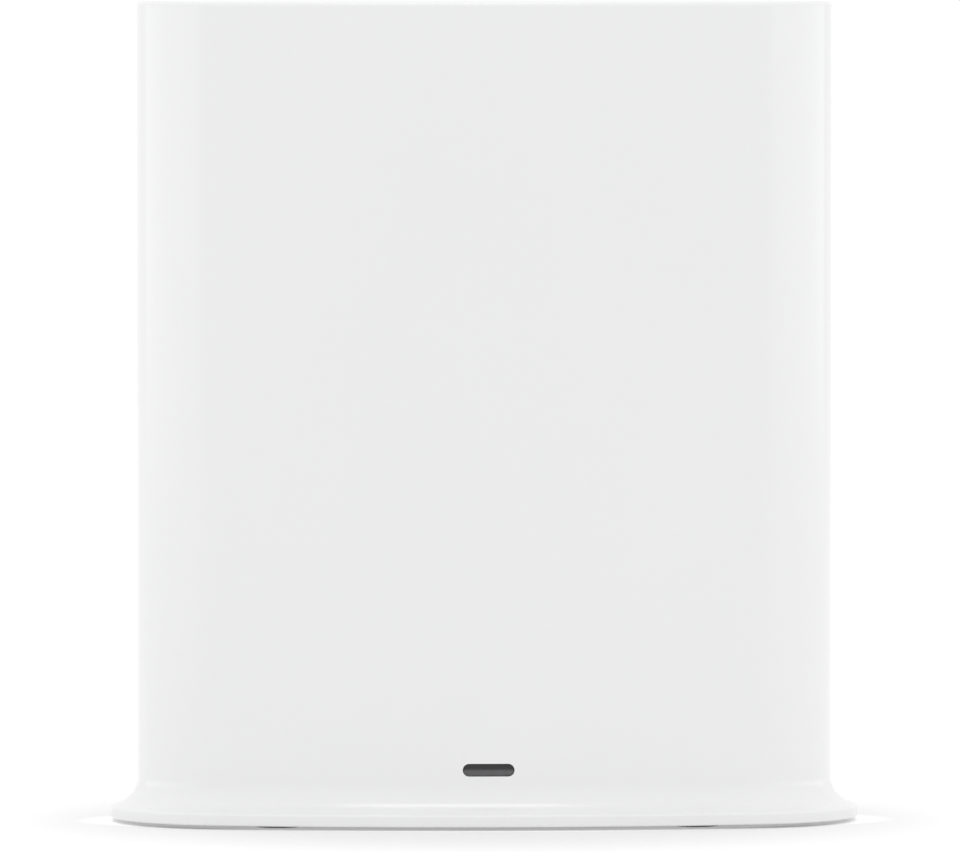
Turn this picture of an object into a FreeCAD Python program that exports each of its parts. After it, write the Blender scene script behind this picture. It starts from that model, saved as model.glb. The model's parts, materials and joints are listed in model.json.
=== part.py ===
"""A security camera base station: an upright oval housing on a flared foot, in millimetres.

X runs to the right seen from the front, Y runs from the front to the back, and Z is up.
The origin is in the middle of the footprint, on the surface that the rubber feet stand on.
"""
import FreeCAD
import Part
import math
import os
from FreeCAD import Vector

# Outer form: a four-arc oval plan, a concave flare round the foot, and a flat top
overall_height = 150.0
base_width = 137.0
base_depth = 59.0
base_end_radius = 24.4
foot_standoff = 0.6
base_edge_height = 2.1
rim_edge_radius = 0.3
lip_radius = 0.45
flare_reach = 4.9
flare_radius = 5.3
flare_slope = 20.0
top_edge_radius = 0.8
shell_wall = 2.4
rim_wall = 2.6
cover_thickness = 1.5

# Clearances between pieces
seam_gap = 0.2
slide_gap = 0.15
screw_gap = 0.05

# Back panel and its seat in the shell
window_top_margin = 9.0
window_side_room = 0.9
window_corner = 6.0
ledge_width = 2.0
rebate_depth = 1.3
panel_wall = 1.6
hook_width = 10.0
hook_reach = 3.0
hook_spacing = 50.0
tab_spacing = 50.0
tab_width = 10.0
clip_thickness = 1.6

# Vent slots in the back panel and in the bottom cover
vent_slot_width = 2.0
vent_pitch = 5.0
vent_columns = 13
vent_rows = 3
vent_row_gap = 4.0
vent_lift = 18.0
vent_top_margin = 15.0
floor_slot_length = 11.0
floor_slot_count = 9
floor_slot_pitch = 5.6
floor_row_spacing = 18.0

# Port bay: a pocket in the back panel with the sockets in its floor
bay_depth = 7.6
bay_step = 0.4
bay_height = 16.5
bay_margin = 2.2
bay_wall = 1.4
bay_corner = 2.0
port_side_room = 4.9
port_clearance = 0.1

# Sockets on the port board
power_jack_width = 9.0
power_jack_height = 11.0
power_jack_length = 14.2
power_bore_radius = 3.15
power_bore_depth = 9.5
power_bore_height = 6.5
power_pin_radius = 1.05
power_pin_length = 9.0
power_pin_edge = 0.5
power_pin_root = 2.0
power_root_radius = 0.7
power_spring_gap = 0.25
power_spring_thickness = 0.3
power_spring_width = 2.0
power_spring_length = 5.0
lan_jack_width = 16.0
lan_jack_height = 13.5
lan_jack_length = 21.3
lan_mouth_width = 11.8
lan_mouth_height = 7.0
lan_mouth_depth = 13.0
lan_mouth_lift = 3.6
lan_key_width = 6.0
lan_key_height = 0.8
lan_latch_width = 4.2
lan_contact_count = 8
lan_contact_pitch = 1.02
lan_contact_size = 0.4
lan_contact_setback = 2.6
lan_contact_drop = 3.4
lan_contact_root = 1.2
lan_light_inset = 0.7
lan_light_width = 3.2
lan_light_height = 1.8
lan_light_length = 3.0
usb_width = 13.2
usb_height = 5.8
usb_length = 14.0
usb_shell_wall = 0.35
usb_tongue_width = 11.1
usb_tongue_thickness = 1.84
usb_tongue_setback = 1.4
usb_tongue_drop = 0.75
usb_block_length = 4.0
usb_window_width = 2.2
usb_window_length = 4.0
usb_window_setback = 2.5
usb_contact_offsets = (-3.5, -1.0, 1.0, 3.5)
usb_contact_width = 1.0
usb_contact_thickness = 0.2
usb_contact_setback = 2.1
card_socket_width = 14.4
card_socket_height = 1.95
card_socket_length = 15.0
card_slot_width = 11.4
card_slot_height = 0.95
card_cover_thickness = 0.25
card_back_wall = 1.5
card_channel_width = 1.1
card_slider_length = 6.0
card_foot_reach = 3.0
card_foot_width = 1.2
card_travel = 1.2
reset_switch_width = 6.0
reset_switch_height = 4.3
reset_switch_length = 3.5
reset_stem_radius = 0.9
reset_stem_reach = 1.6
reset_stem_height = 2.1
reset_travel = 0.25
reset_hole_radius = 0.8
switch_floor = 0.8
stem_gap = 0.08
stem_edge = 0.2

# Boards
board_thickness = 1.6
board_corner = 2.0
port_board_side_gap = 0.8
port_board_nose_setback = 8.0
port_board_front_gap = 5.2
port_board_shoulder = 7.0
port_screw_inset = 3.5
port_screw_front_inset = 2.0
main_board_side_gap = 8.0
main_board_lift = 3.3
main_board_headroom = 2.5
main_board_standoff = 11.2
main_screw_side_room = 2.0
main_screw_lift = 7.0
main_screw_drop = 4.5
panel_boss_radius = 3.0

# Screws
screw_radius = 1.25
screw_head_radius = 2.3
screw_head_height = 1.5
screw_head_edge = 0.4
pilot_spare = 1.0
screw_recess_width = 0.7
screw_recess_reach = 1.35
screw_recess_depth = 0.8
cover_screw_inset = 9.2
cover_screw_y = 9.0
cover_screw_length = 9.5
shell_boss_radius = 3.2
shell_boss_top = 20.0
rib_thickness = 1.4
front_rib_count = 4
front_rib_pitch = 22.0
front_rib_reach = 1.6
cover_boss_radius = 4.0
cover_boss_seat = 1.2
board_screw_length = 8.0

# Feet
foot_radius = 4.6
foot_thickness = 1.5
foot_edge = 0.3
foot_setback = 14.0
foot_edge_margin = 2.3

# Status light
light_height = 10.7
light_width = 9.4
light_opening = 2.3
light_recess = 0.15
light_gap = 0.1
light_flange = 1.2
light_flange_thickness = 0.9
light_tail_width = 4.4
light_tail_height = 1.7
led_width = 3.2
led_depth = 1.2
led_height = 1.8
shroud_wall = 1.2

# Pairing button on the back, with its switch on the main board
sync_lift = 14.0
sync_button_radius = 4.5
sync_button_proud = 0.5
sync_button_edge = 0.5
sync_flange_reach = 1.3
sync_flange_thickness = 1.2
sync_guide_wall = 1.2
sync_guide_depth = 4.0
sync_stalk_radius = 2.0
sync_switch_size = 6.0
sync_switch_height = 3.5
sync_stem_radius = 1.75
sync_stem_proud = 1.5
sync_travel = 0.3
sync_dish_width = 7.0
sync_dish_depth = 0.25

# Processor, heat sink and other parts on the main board
processor_size = 19.0
processor_thickness = 1.4
heat_sink_side_room = 3.0
heat_sink_top_drop = 17.0
heat_sink_plate = 2.5
heat_sink_leg_height = 2.6
heat_sink_leg_radius = 2.6
heat_sink_leg_inset = 4.0
fin_height = 12.0
fin_thickness = 1.2
fin_end_gap = 2.0
fin_count = 13
heat_sink_screw_length = 5.0
memory_width = 8.0
memory_length = 12.0
memory_thickness = 1.0
memory_offset = 20.0
flash_size = 7.0
flash_thickness = 0.9
crystal_width = 3.2
crystal_length = 2.5
crystal_thickness = 0.7
thermal_pad_margin = 0.5
shield_width = 26.0
shield_height = 16.0
shield_depth = 2.2
shield_metal = 0.3
shield_lift = 10.5
shield_spacing = 56.0

# Antennas on their carrier
carrier_side_gap = 1.4
carrier_headroom = 6.6
carrier_bar = 2.5
carrier_leg_length = 49.0
carrier_depth = 6.6
carrier_lug = 1.6
antenna_thickness = 0.8
antenna_width = 5.8
antenna_length = 42.0
top_antenna_length = 44.0
lead_radius = 0.57
lead_rise = 34.0
antenna_feed = 1.5
coax_plug_radius = 1.3
coax_plug_height = 1.2
coax_plug_inset = 2.2
top_plug_x = 12.0

# Ribbon between the boards, and parts on the port board
ribbon_width = 14.0
ribbon_thickness = 0.3
ribbon_bend_radius = 2.5
ribbon_slack = 2.0
ribbon_socket_inset = 1.0
ribbon_socket_length = 3.0
ribbon_socket_height = 2.2
ribbon_socket_wall = 1.2
ribbon_entry = 1.2
transformer_width = 12.7
transformer_length = 7.1
transformer_height = 5.7
capacitor_radius = 3.15
capacitor_height = 7.7
capacitor_pitch = 7.5
capacitor_count = 2
capacitor_foot = 1.0
capacitor_edge = 0.4
inductor_size = 6.0
inductor_height = 3.0
part_gap = 2.0

same_point = 1e-6
UP = Vector(0, 0, 1)
BACK = Vector(0, 1, 0)
RIGHT = Vector(1, 0, 0)


def oval_arcs():
    """The plan outline of the foot: centre, radius, first angle and sweep of each arc."""
    end_x = base_width / 2 - base_end_radius
    gap = base_depth - 2 * base_end_radius
    side_radius = (end_x**2 + (base_depth / 2) ** 2 - base_end_radius**2) / gap
    side_y = side_radius - base_depth / 2
    turn = math.degrees(math.atan2(side_y, end_x))
    return [
        (Vector(end_x, 0, 0), base_end_radius, -turn, 2 * turn),
        (Vector(0, -side_y, 0), side_radius, turn, 180 - 2 * turn),
        (Vector(-end_x, 0, 0), base_end_radius, 180 - turn, 2 * turn),
        (Vector(0, side_y, 0), side_radius, 180 + turn, 180 - 2 * turn),
    ]


def oval_half_width(inset, y):
    """Half the width, at y, of the oval moved inwards by inset; y lies within its round ends."""
    end_x = base_width / 2 - base_end_radius
    return end_x + math.sqrt((base_end_radius - inset) ** 2 - y**2)


def oval_half_depth(inset, x):
    """Half the depth, at x, of the oval moved inwards by inset; x lies on its long arcs."""
    centre, radius = oval_arcs()[1][:2]
    return math.sqrt((radius - inset) ** 2 - x**2) + centre.y


def port_places(half_span):
    """Centre of each port, from the power jack to the reset switch, spread evenly over the span."""
    widths = [
        ("power", power_jack_width),
        ("lan", lan_jack_width),
        ("usb", usb_width),
        ("card", card_socket_width),
        ("reset", reset_switch_width),
    ]
    gap = (2 * half_span - sum(width for name, width in widths)) / (len(widths) - 1)
    places = {}
    edge = half_span
    for name, width in widths:
        places[name] = edge - width / 2
        edge -= width + gap
    return places


# Places on the housing that follow from the sizes above
rim_z = foot_standoff
edge_top = rim_z + base_edge_height
slope_tangent = math.tan(math.radians(flare_slope))
slope_cosine = math.cos(math.radians(flare_slope))
ledge_z = rim_z + cover_thickness
top_inside = overall_height - shell_wall
rear_y = base_depth / 2 - flare_reach
wall_inset = flare_reach + shell_wall
core_inset = wall_inset + shell_wall
rear_inside_y = rear_y - shell_wall
cover_head_z = rim_z + screw_head_height + seam_gap
cover_boss_top = cover_head_z + cover_boss_seat
cover_screw_x = oval_half_width(wall_inset, 0) - cover_screw_inset
foot_x = cover_screw_x - foot_setback
foot_y = oval_half_depth(rim_wall, foot_x) - foot_radius - foot_edge_margin

# Places on the port board and round the bay
port_board_bottom = light_height + led_height / 2
port_board_top = port_board_bottom + board_thickness
port_board_half_width = cover_screw_x - shell_boss_radius - port_board_side_gap
port_screw_x = port_board_half_width - port_screw_inset
port_half_span = port_screw_x - screw_head_radius - port_side_room
ports = port_places(port_half_span)
bay_half_width = port_half_span + bay_margin
bay_bottom = port_board_top - bay_step
bay_top = bay_bottom + bay_height
bay_floor_y = rear_y - bay_depth
bay_inside_y = bay_floor_y - panel_wall
window_half_width = bay_half_width + bay_wall + window_side_room + seam_gap + ledge_width
window_bottom = bay_bottom - bay_wall - seam_gap - ledge_width
window_top = overall_height - window_top_margin
port_board_rear = bay_inside_y - seam_gap
port_board_front = -rear_inside_y + port_board_front_gap
port_shoulder_y = port_board_front + port_board_shoulder

# Places on the main board and its carrier
carrier_top = top_inside - carrier_headroom
main_board_rear = rear_inside_y - main_board_standoff
main_board_front = main_board_rear - board_thickness
main_board_bottom = port_board_top + lan_jack_height + main_board_lift
main_board_top = carrier_top - carrier_bar - main_board_headroom
carrier_half_width = oval_half_width(wall_inset, main_board_rear) - carrier_side_gap
main_board_half_width = oval_half_width(wall_inset, main_board_rear) - main_board_side_gap
main_screw_x = window_half_width - ledge_width - panel_boss_radius - main_screw_side_room
main_screw_low = main_board_bottom + main_screw_lift
main_screw_high = main_board_top - main_screw_drop
shield_z = main_board_bottom + shield_lift + shield_height / 2
heat_sink_half_width = main_screw_x - heat_sink_side_room
heat_sink_bottom = shield_z + shield_height / 2 + part_gap
heat_sink_top = main_board_top - heat_sink_top_drop
heat_sink_rear = main_board_front - heat_sink_leg_height
heat_sink_front = heat_sink_rear - heat_sink_plate
chip_height = (heat_sink_bottom + heat_sink_top) / 2
sync_height = main_board_bottom + sync_lift
sync_flange_top = rear_inside_y - seam_gap
sync_stem_tip = main_board_rear + sync_switch_height + sync_stem_proud
vent_lowest = sync_height + vent_lift
vent_room = window_top - vent_top_margin - vent_lowest
vent_slot_height = (vent_room - vent_row_gap * (vent_rows - 1)) / vent_rows


def box(x, y, z):
    """A block between two values on each axis."""
    corner = Vector(min(x), min(y), min(z))
    return Part.makeBox(max(x) - min(x), max(y) - min(y), max(z) - min(z), corner)


def cylinder(radius, start, direction, length):
    return Part.makeCylinder(radius, length, start, direction)


def fused(shapes):
    first, *others = shapes
    return first.multiFuse(others).removeSplitter()


def cut_by(shape, tools):
    first, *others = tools
    return shape.cut(first.multiFuse(others) if others else first)


def both_sides(shape):
    """The shape and its mirror image on the other side of the middle plane."""
    return [shape, shape.mirror(Vector(0, 0, 0), RIGHT)]


def centred(count, pitch):
    """Positions of count places, pitch apart, about zero."""
    return [(index - (count - 1) / 2) * pitch for index in range(count)]


def edge_furthest(shape, direction):
    """The edge whose middle lies furthest along direction."""
    return max(shape.Edges, key=lambda edge: edge.CenterOfMass.dot(direction))


def rounded_corner(before, corner, after, radius):
    """Where an arc of this radius leaves the corner's two lines, and the arc's middle."""
    to_before = (before - corner).normalize()
    to_after = (after - corner).normalize()
    half_angle = to_before.getAngle(to_after) / 2
    setback = radius / math.tan(half_angle)
    inward = (to_before + to_after).normalize()
    middle = corner + inward * (radius / math.sin(half_angle) - radius)
    return corner + to_before * setback, middle, corner + to_after * setback


def flattened_corner(before, corner, after, radius):
    """Where a flat that touches an arc of this radius at its middle leaves the corner's two lines."""
    to_before = (before - corner).normalize()
    to_after = (after - corner).normalize()
    half_angle = to_before.getAngle(to_after) / 2
    quarter_turn = (math.pi / 2 - half_angle) / 2
    setback = radius / math.tan(half_angle) - radius * math.tan(quarter_turn)
    return corner + to_before * setback, corner + to_after * setback


def outline(corners, place):
    """A closed wire through (u, v, radius) corners; place turns u and v into a point.

    A radius below zero cuts the corner with a flat that touches the arc of that size.
    """
    points = [place(u, v) for u, v, radius in corners]
    edges = []
    stops = []
    for index, corner in enumerate(points):
        radius = corners[index][2]
        neighbours = (points[index - 1], corner, points[(index + 1) % len(points)])
        if radius > 0:
            start, middle, end = rounded_corner(*neighbours, radius)
            edges.append(Part.Arc(start, middle, end).toShape())
        elif radius < 0:
            start, end = flattened_corner(*neighbours, -radius)
            edges.append(Part.makeLine(start, end))
        else:
            start, end = corner, corner
        stops.append((start, end))
    for index, stop in enumerate(stops):
        line_end = stops[(index + 1) % len(stops)][0]
        if stop[1].distanceToPoint(line_end) > same_point:
            edges.append(Part.makeLine(stop[1], line_end))
    return Part.Wire(Part.__sortEdges__(edges))


def rounded_plate(x, z, y, radius):
    """A plate that stands upright, between two values on each axis, with round corners."""
    corners = [(x[0], z[0], radius), (x[1], z[0], radius), (x[1], z[1], radius), (x[0], z[1], radius)]
    wire = outline(corners, lambda u, v: Vector(u, min(y), v))
    return Part.Face(wire).extrude(BACK * (max(y) - min(y)))


def slot_prism(centre, length_direction, width, length, through):
    """A slot with round ends; through is its depth as a vector, and centre lies on its near face."""
    side = length_direction.cross(through).normalize() * (width / 2)
    run = length_direction * ((length - width) / 2)
    tip = length_direction * (length / 2)
    edges = [
        Part.makeLine(centre + side - run, centre + side + run),
        Part.Arc(centre + side + run, centre + tip, centre - side + run).toShape(),
        Part.makeLine(centre - side + run, centre - side - run),
        Part.Arc(centre - side - run, centre - tip, centre + side - run).toShape(),
    ]
    return Part.Face(Part.Wire(edges)).extrude(through)


def spoke(degrees):
    return Vector(math.cos(math.radians(degrees)), math.sin(math.radians(degrees)), 0)


def oval_slab(inset, low, high):
    """A slab whose outline is the oval of the foot moved inwards by inset."""
    edges = []
    for centre, radius, first, sweep in oval_arcs():
        lift = centre + UP * low
        points = [lift + spoke(first + share * sweep) * (radius - inset) for share in (0, 0.5, 1)]
        edges.append(Part.Arc(*points).toShape())
    return Part.Face(Part.Wire(edges)).extrude(UP * (high - low))


def oval_solid(corners):
    """A section of (inset, height, radius) corners carried round the oval, and filled in the middle.

    Each stretch of the oval is an arc, so the section turns about that arc's centre.
    The section starts and ends on the same inset, at the lowest and the highest level.
    """
    pieces = [oval_slab(corners[0][0], corners[0][1], corners[-1][1])]
    for centre, radius, first, sweep in oval_arcs():
        direction = spoke(first)
        wire = outline(corners, lambda u, v: centre + direction * (radius - u) + UP * v)
        pieces.append(Part.Face(wire).revolve(centre, UP, sweep))
    return fused(pieces)


def wall_ring(outer_inset, inner_inset):
    """An upright wall between two insets of the oval, over the whole height."""
    return oval_slab(outer_inset, 0, overall_height).cut(oval_slab(inner_inset, 0, overall_height))


def window_prism(margin):
    """The back window as a prism through the back wall, made smaller all round by margin."""
    half = window_half_width - margin
    heights = (window_bottom + margin, window_top - margin)
    return rounded_plate((-half, half), heights, (0, base_depth), window_corner - margin)


def screw(seat, direction, length):
    """A pan head screw with a cross recess; seat is under the head, and direction is the way it is driven."""
    head = cylinder(screw_head_radius, seat, direction * -1, screw_head_height)
    head = head.makeChamfer(screw_head_edge, [edge_furthest(head, direction * -1)])
    shank = cylinder(screw_radius, seat, direction, length)
    arm = Part.makeBox(
        2 * screw_recess_reach,
        screw_recess_width,
        2 * screw_recess_depth,
        Vector(-screw_recess_reach, -screw_recess_width / 2, -screw_recess_depth),
    )
    recess = arm.fuse(arm.rotated(Vector(0, 0, 0), UP, 90))
    top = seat - direction * screw_head_height
    recess.Placement = FreeCAD.Placement(top, FreeCAD.Rotation(UP, direction))
    return head.fuse(shank).cut(recess)


# Outer shell: the one-piece sleeve with the top and the flared foot


def housing_form():
    """The solid outer form, from the flared foot to the top edge."""
    return oval_solid(
        [
            (core_inset, rim_z, 0),
            (0, rim_z, -rim_edge_radius),
            (0, edge_top, lip_radius),
            (flare_reach, edge_top + flare_reach * slope_tangent, flare_radius),
            (flare_reach, overall_height, top_edge_radius),
            (core_inset, overall_height, 0),
        ]
    )


def housing_room():
    """The room inside the shell: an even wall round the flare, and a pocket for the cover in the foot."""
    wall_on_slope = shell_wall / slope_cosine
    bend_z = edge_top + wall_inset * slope_tangent - wall_on_slope
    below_bend = wall_inset - (bend_z - rim_z) / slope_tangent
    room = oval_solid(
        [
            (core_inset, rim_z, 0),
            (below_bend, rim_z, 0),
            (wall_inset, bend_z, -(flare_radius + shell_wall)),
            (wall_inset, top_inside, 0),
            (core_inset, top_inside, 0),
        ]
    )
    room = room.cut(oval_slab(below_bend - shell_wall, rim_z - shell_wall, ledge_z))
    return room.fuse(oval_slab(rim_wall, rim_z - shell_wall, ledge_z))


def cover_screw_places():
    return [(x, y) for x in (-cover_screw_x, cover_screw_x) for y in (-cover_screw_y, cover_screw_y)]


def shell_boss(x, y):
    """A screw boss for the bottom cover, with a rib to the end wall."""
    post = cylinder(shell_boss_radius, Vector(x, y, cover_boss_top), UP, shell_boss_top - cover_boss_top)
    wall_x = math.copysign(oval_half_width(wall_inset, y) + shell_wall / 2, x)
    rib_low = edge_top + flare_radius + shell_wall
    rib = box((x, wall_x), (y - rib_thickness / 2, y + rib_thickness / 2), (rib_low, shell_boss_top))
    return post.fuse(rib)


def front_ribs():
    """Upright stiffening ribs on the inside of the front wall."""
    ribs = []
    for x in centred(front_rib_count, front_rib_pitch):
        wall_y = -oval_half_depth(wall_inset, x)
        depth = (wall_y - shell_wall / 2, wall_y + front_rib_reach)
        heights = (shell_boss_top, top_inside + shell_wall / 2)
        ribs.append(box((x - rib_thickness / 2, x + rib_thickness / 2), depth, heights))
    return ribs


def make_outer_shell():
    shell = housing_form().cut(housing_room())
    rebate = wall_ring(0, flare_reach + rebate_depth).common(window_prism(0))
    shell = shell.cut(rebate).cut(window_prism(ledge_width))
    places = cover_screw_places()
    shell = fused([shell, *[shell_boss(x, y) for x, y in places], *front_ribs()])
    pilot_length = cover_head_z + cover_screw_length + pilot_spare - cover_boss_top
    tools = []
    for x, y in places:
        tools.append(cylinder(screw_radius + screw_gap, Vector(x, y, cover_boss_top), UP, pilot_length))
    outside = Vector(0, -base_depth / 2, light_height)
    through = BACK * (base_depth / 2 - rear_inside_y + seam_gap)
    tools.append(slot_prism(outside, RIGHT, light_opening, light_width, through))
    return cut_by(shell, tools)


# Back panel: the rebated cover of the window, with the port bay moulded in


def make_rear_panel():
    panel = fused([panel_plate(), bay_walls(), sync_guide(), *panel_bosses(), *panel_hooks(), *panel_tabs()])
    panel = panel.common(oval_slab(flare_reach, 0, overall_height))
    return cut_by(panel, [bay_pocket(), sync_hole(), *port_openings(), *vent_slots(), *panel_pilots()])


def panel_plate():
    """The curved plate that fills the window, thinner round its edge, where it lies on the shell's ledge."""
    plate = wall_ring(flare_reach, wall_inset).common(window_prism(seam_gap))
    border = wall_ring(flare_reach + rebate_depth, core_inset).cut(window_prism(seam_gap + ledge_width))
    return plate.cut(border)


def bay_walls():
    """The outside of the port bay, from its floor to the back surface."""
    half = bay_half_width + bay_wall
    heights = (bay_bottom - bay_wall, bay_top + bay_wall)
    return rounded_plate((-half, half), heights, (bay_inside_y, rear_y), bay_corner + bay_wall)


def bay_pocket():
    span = (-bay_half_width, bay_half_width)
    return rounded_plate(span, (bay_bottom, bay_top), (bay_floor_y, base_depth), bay_corner)


def port_openings():
    """The holes in the floor of the bay that the sockets and the reset stem show through."""
    through = (bay_inside_y - seam_gap, bay_floor_y + seam_gap)
    sizes = {
        "power": (power_jack_width, power_jack_height),
        "lan": (lan_jack_width, lan_jack_height),
        "usb": (usb_width, usb_height),
        "card": (card_socket_width, card_socket_height),
    }
    openings = []
    for name, (width, height) in sizes.items():
        half = width / 2 + port_clearance
        heights = (port_board_top - port_clearance, port_board_top + height + port_clearance)
        openings.append(box((ports[name] - half, ports[name] + half), through, heights))
    start = Vector(ports["reset"], through[0], port_board_top + reset_stem_height)
    openings.append(cylinder(reset_hole_radius, start, BACK, through[1] - through[0]))
    return openings


def vent_slots():
    """Rows of upright slots in the upper part of the back panel."""
    start_y = oval_half_depth(wall_inset, (vent_columns - 1) / 2 * vent_pitch) - seam_gap
    through = BACK * (base_depth / 2 - start_y)
    slots = []
    for row in range(vent_rows):
        z = vent_lowest + vent_slot_height / 2 + row * (vent_slot_height + vent_row_gap)
        for x in centred(vent_columns, vent_pitch):
            slots.append(slot_prism(Vector(x, start_y, z), UP, vent_slot_width, vent_slot_height, through))
    return slots


def sync_guide():
    """A tube on the inside of the back panel that guides the flange of the pairing button."""
    bore_radius = sync_button_radius + sync_flange_reach + seam_gap
    start = Vector(0, rear_inside_y - sync_guide_depth, sync_height)
    tube = cylinder(bore_radius + sync_guide_wall, start, BACK, sync_guide_depth + shell_wall / 2)
    return tube.cut(cylinder(bore_radius, start, BACK, sync_guide_depth))


def sync_hole():
    start = Vector(0, rear_inside_y - seam_gap, sync_height)
    return cylinder(sync_button_radius + slide_gap, start, BACK, base_depth / 2 - start.y)


def main_screw_places():
    return [(x, z) for x in (-main_screw_x, main_screw_x) for z in (main_screw_low, main_screw_high)]


def panel_bosses():
    """Posts on the inside of the back panel that the main board is screwed to."""
    posts = []
    for x, z in main_screw_places():
        start = Vector(x, main_board_rear, z)
        posts.append(cylinder(panel_boss_radius, start, BACK, oval_half_depth(flare_reach, x) - start.y))
    return posts


def panel_pilots():
    radius = screw_radius + screw_gap
    length = board_screw_length + pilot_spare
    return [cylinder(radius, Vector(x, main_board_rear, z), BACK, length) for x, z in main_screw_places()]


def clip_span(x, width, gap):
    """Where a flat clip fits behind the shell's back wall: its span in X, and its inner and outer Y."""
    wall_y = oval_half_depth(wall_inset, abs(x) + width / 2)
    return (x - width / 2, x + width / 2), (wall_y - gap - clip_thickness, wall_y - gap)


def panel_hooks():
    """Two hooks at the top, each a foot on the panel and a tongue that reaches up behind the shell."""
    hooks = []
    edge = window_top - ledge_width
    for x in centred(2, hook_spacing):
        span, depth = clip_span(x, hook_width, slide_gap)
        hooks.append(box(span, depth, (edge - hook_reach, edge + hook_reach)))
        hooks.append(box(span, (depth[0], rear_y), (edge - hook_reach, edge - hook_reach / 2)))
    return hooks


def panel_tabs():
    """Two tabs at the bottom that stand behind the shell, just over the bottom cover."""
    tabs = []
    for x in centred(2, tab_spacing):
        span, depth = clip_span(x, tab_width, seam_gap)
        tabs.append(box(span, depth, (ledge_z + seam_gap, bay_bottom)))
    return tabs


# Bottom cover, with the feet and the screws under it


def port_screw_places():
    depths = (port_shoulder_y + port_screw_front_inset, port_board_rear - port_screw_inset)
    return [(x, y) for x in (-port_screw_x, port_screw_x) for y in depths]


def foot_places():
    return [(x, y) for x in (-foot_x, foot_x) for y in (-foot_y, foot_y)]


def floor_slots():
    """Two rows of vent slots in the bottom cover."""
    slots = []
    for y in centred(2, floor_row_spacing):
        for x in centred(floor_slot_count, floor_slot_pitch):
            centre = Vector(x, y, rim_z)
            slots.append(slot_prism(centre, BACK, vent_slot_width, floor_slot_length, UP * cover_thickness))
    return slots


def make_bottom_cover():
    """The plate that closes the foot, with posts for the port board, vents, and recesses for the feet."""
    pieces = [oval_slab(rim_wall + seam_gap, rim_z, ledge_z)]
    tools = floor_slots()
    for x, y in cover_screw_places():
        under = Vector(x, y, rim_z)
        pieces.append(cylinder(cover_boss_radius, under, UP, cover_boss_top - rim_z))
        tools.append(cylinder(screw_head_radius + slide_gap, under, UP, cover_head_z - rim_z))
        tools.append(cylinder(screw_radius + slide_gap, under, UP, cover_boss_top - rim_z))
    for x, y in port_screw_places():
        pieces.append(cylinder(panel_boss_radius, Vector(x, y, rim_z), UP, port_board_bottom - rim_z))
        pilot = board_screw_length - board_thickness + pilot_spare
        tools.append(cylinder(screw_radius + screw_gap, Vector(x, y, port_board_bottom), UP * -1, pilot))
    for x, y in foot_places():
        tools.append(cylinder(foot_radius, Vector(x, y, rim_z), UP, foot_thickness - rim_z))
    return cut_by(fused(pieces), tools)


def make_rubber_feet():
    feet = []
    for x, y in foot_places():
        foot = cylinder(foot_radius - screw_gap, Vector(x, y, 0), UP, foot_thickness)
        feet.append(foot.makeChamfer(foot_edge, [edge_furthest(foot, UP * -1)]))
    return Part.makeCompound(feet)


def make_cover_screws():
    seats = [Vector(x, y, cover_head_z) for x, y in cover_screw_places()]
    return Part.makeCompound([screw(seat, UP, cover_screw_length) for seat in seats])


# Status light: the lamp under the port board, its light pipe and the black block round them


def light_tail(grow):
    """The tapered tail of the light pipe, from its flange to the lamp."""
    near_y = -rear_inside_y + seam_gap + light_flange_thickness
    far_y = port_board_front - seam_gap
    ends = [
        (near_y - grow, light_width / 2 + grow, light_opening / 2 + grow),
        (far_y + grow, light_tail_width / 2 + grow, light_tail_height / 2 + grow),
    ]
    sections = []
    for y, half, rise in ends:
        corners = [(-half, -rise, 0), (half, -rise, 0), (half, rise, 0), (-half, rise, 0)]
        sections.append(outline(corners, lambda u, v: Vector(u, y, light_height + v)))
    return Part.makeLoft(sections, True, True)


def make_light_pipe():
    """The smoked light pipe: a lens in the front wall, a flange behind the wall, and a tapered tail."""
    flange_y = -rear_inside_y + seam_gap
    face = Vector(0, -rear_y + light_recess, light_height)
    lens_width = light_width - 2 * light_gap
    lens_height = light_opening - 2 * light_gap
    lens = slot_prism(face, RIGHT, lens_height, lens_width, BACK * (flange_y - face.y))
    flange_start = Vector(0, flange_y, light_height)
    flange_width = light_width + 2 * light_flange
    flange_height = light_opening + 2 * light_flange
    flange = slot_prism(flange_start, RIGHT, flange_height, flange_width, BACK * light_flange_thickness)
    return fused([lens, flange, light_tail(0)])


def make_light_shroud():
    """The black block round the tail and the lamp, which stops light leaking into the housing."""
    half = light_width / 2 + shroud_wall
    front_y = -rear_inside_y + 2 * seam_gap + light_flange_thickness
    low = light_height - light_opening / 2 - shroud_wall
    top = light_height + light_opening / 2 + shroud_wall
    nose_end = port_board_front - seam_gap
    heel_end = port_board_front + led_depth + shroud_wall
    nose = box((-half, half), (front_y, nose_end), (low, top))
    heel = box((-half, half), (nose_end, heel_end), (low, port_board_bottom))
    lamp_half = led_width / 2 + slide_gap
    lamp_room = box(
        (-lamp_half, lamp_half),
        (nose_end, port_board_front + led_depth + slide_gap),
        (port_board_bottom - led_height - slide_gap, port_board_bottom),
    )
    return cut_by(fused([nose, heel]), [light_tail(slide_gap), lamp_room])


def make_status_led():
    return box(
        (-led_width / 2, led_width / 2),
        (port_board_front, port_board_front + led_depth),
        (port_board_bottom - led_height, port_board_bottom),
    )


# The two boards and their screws


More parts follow.
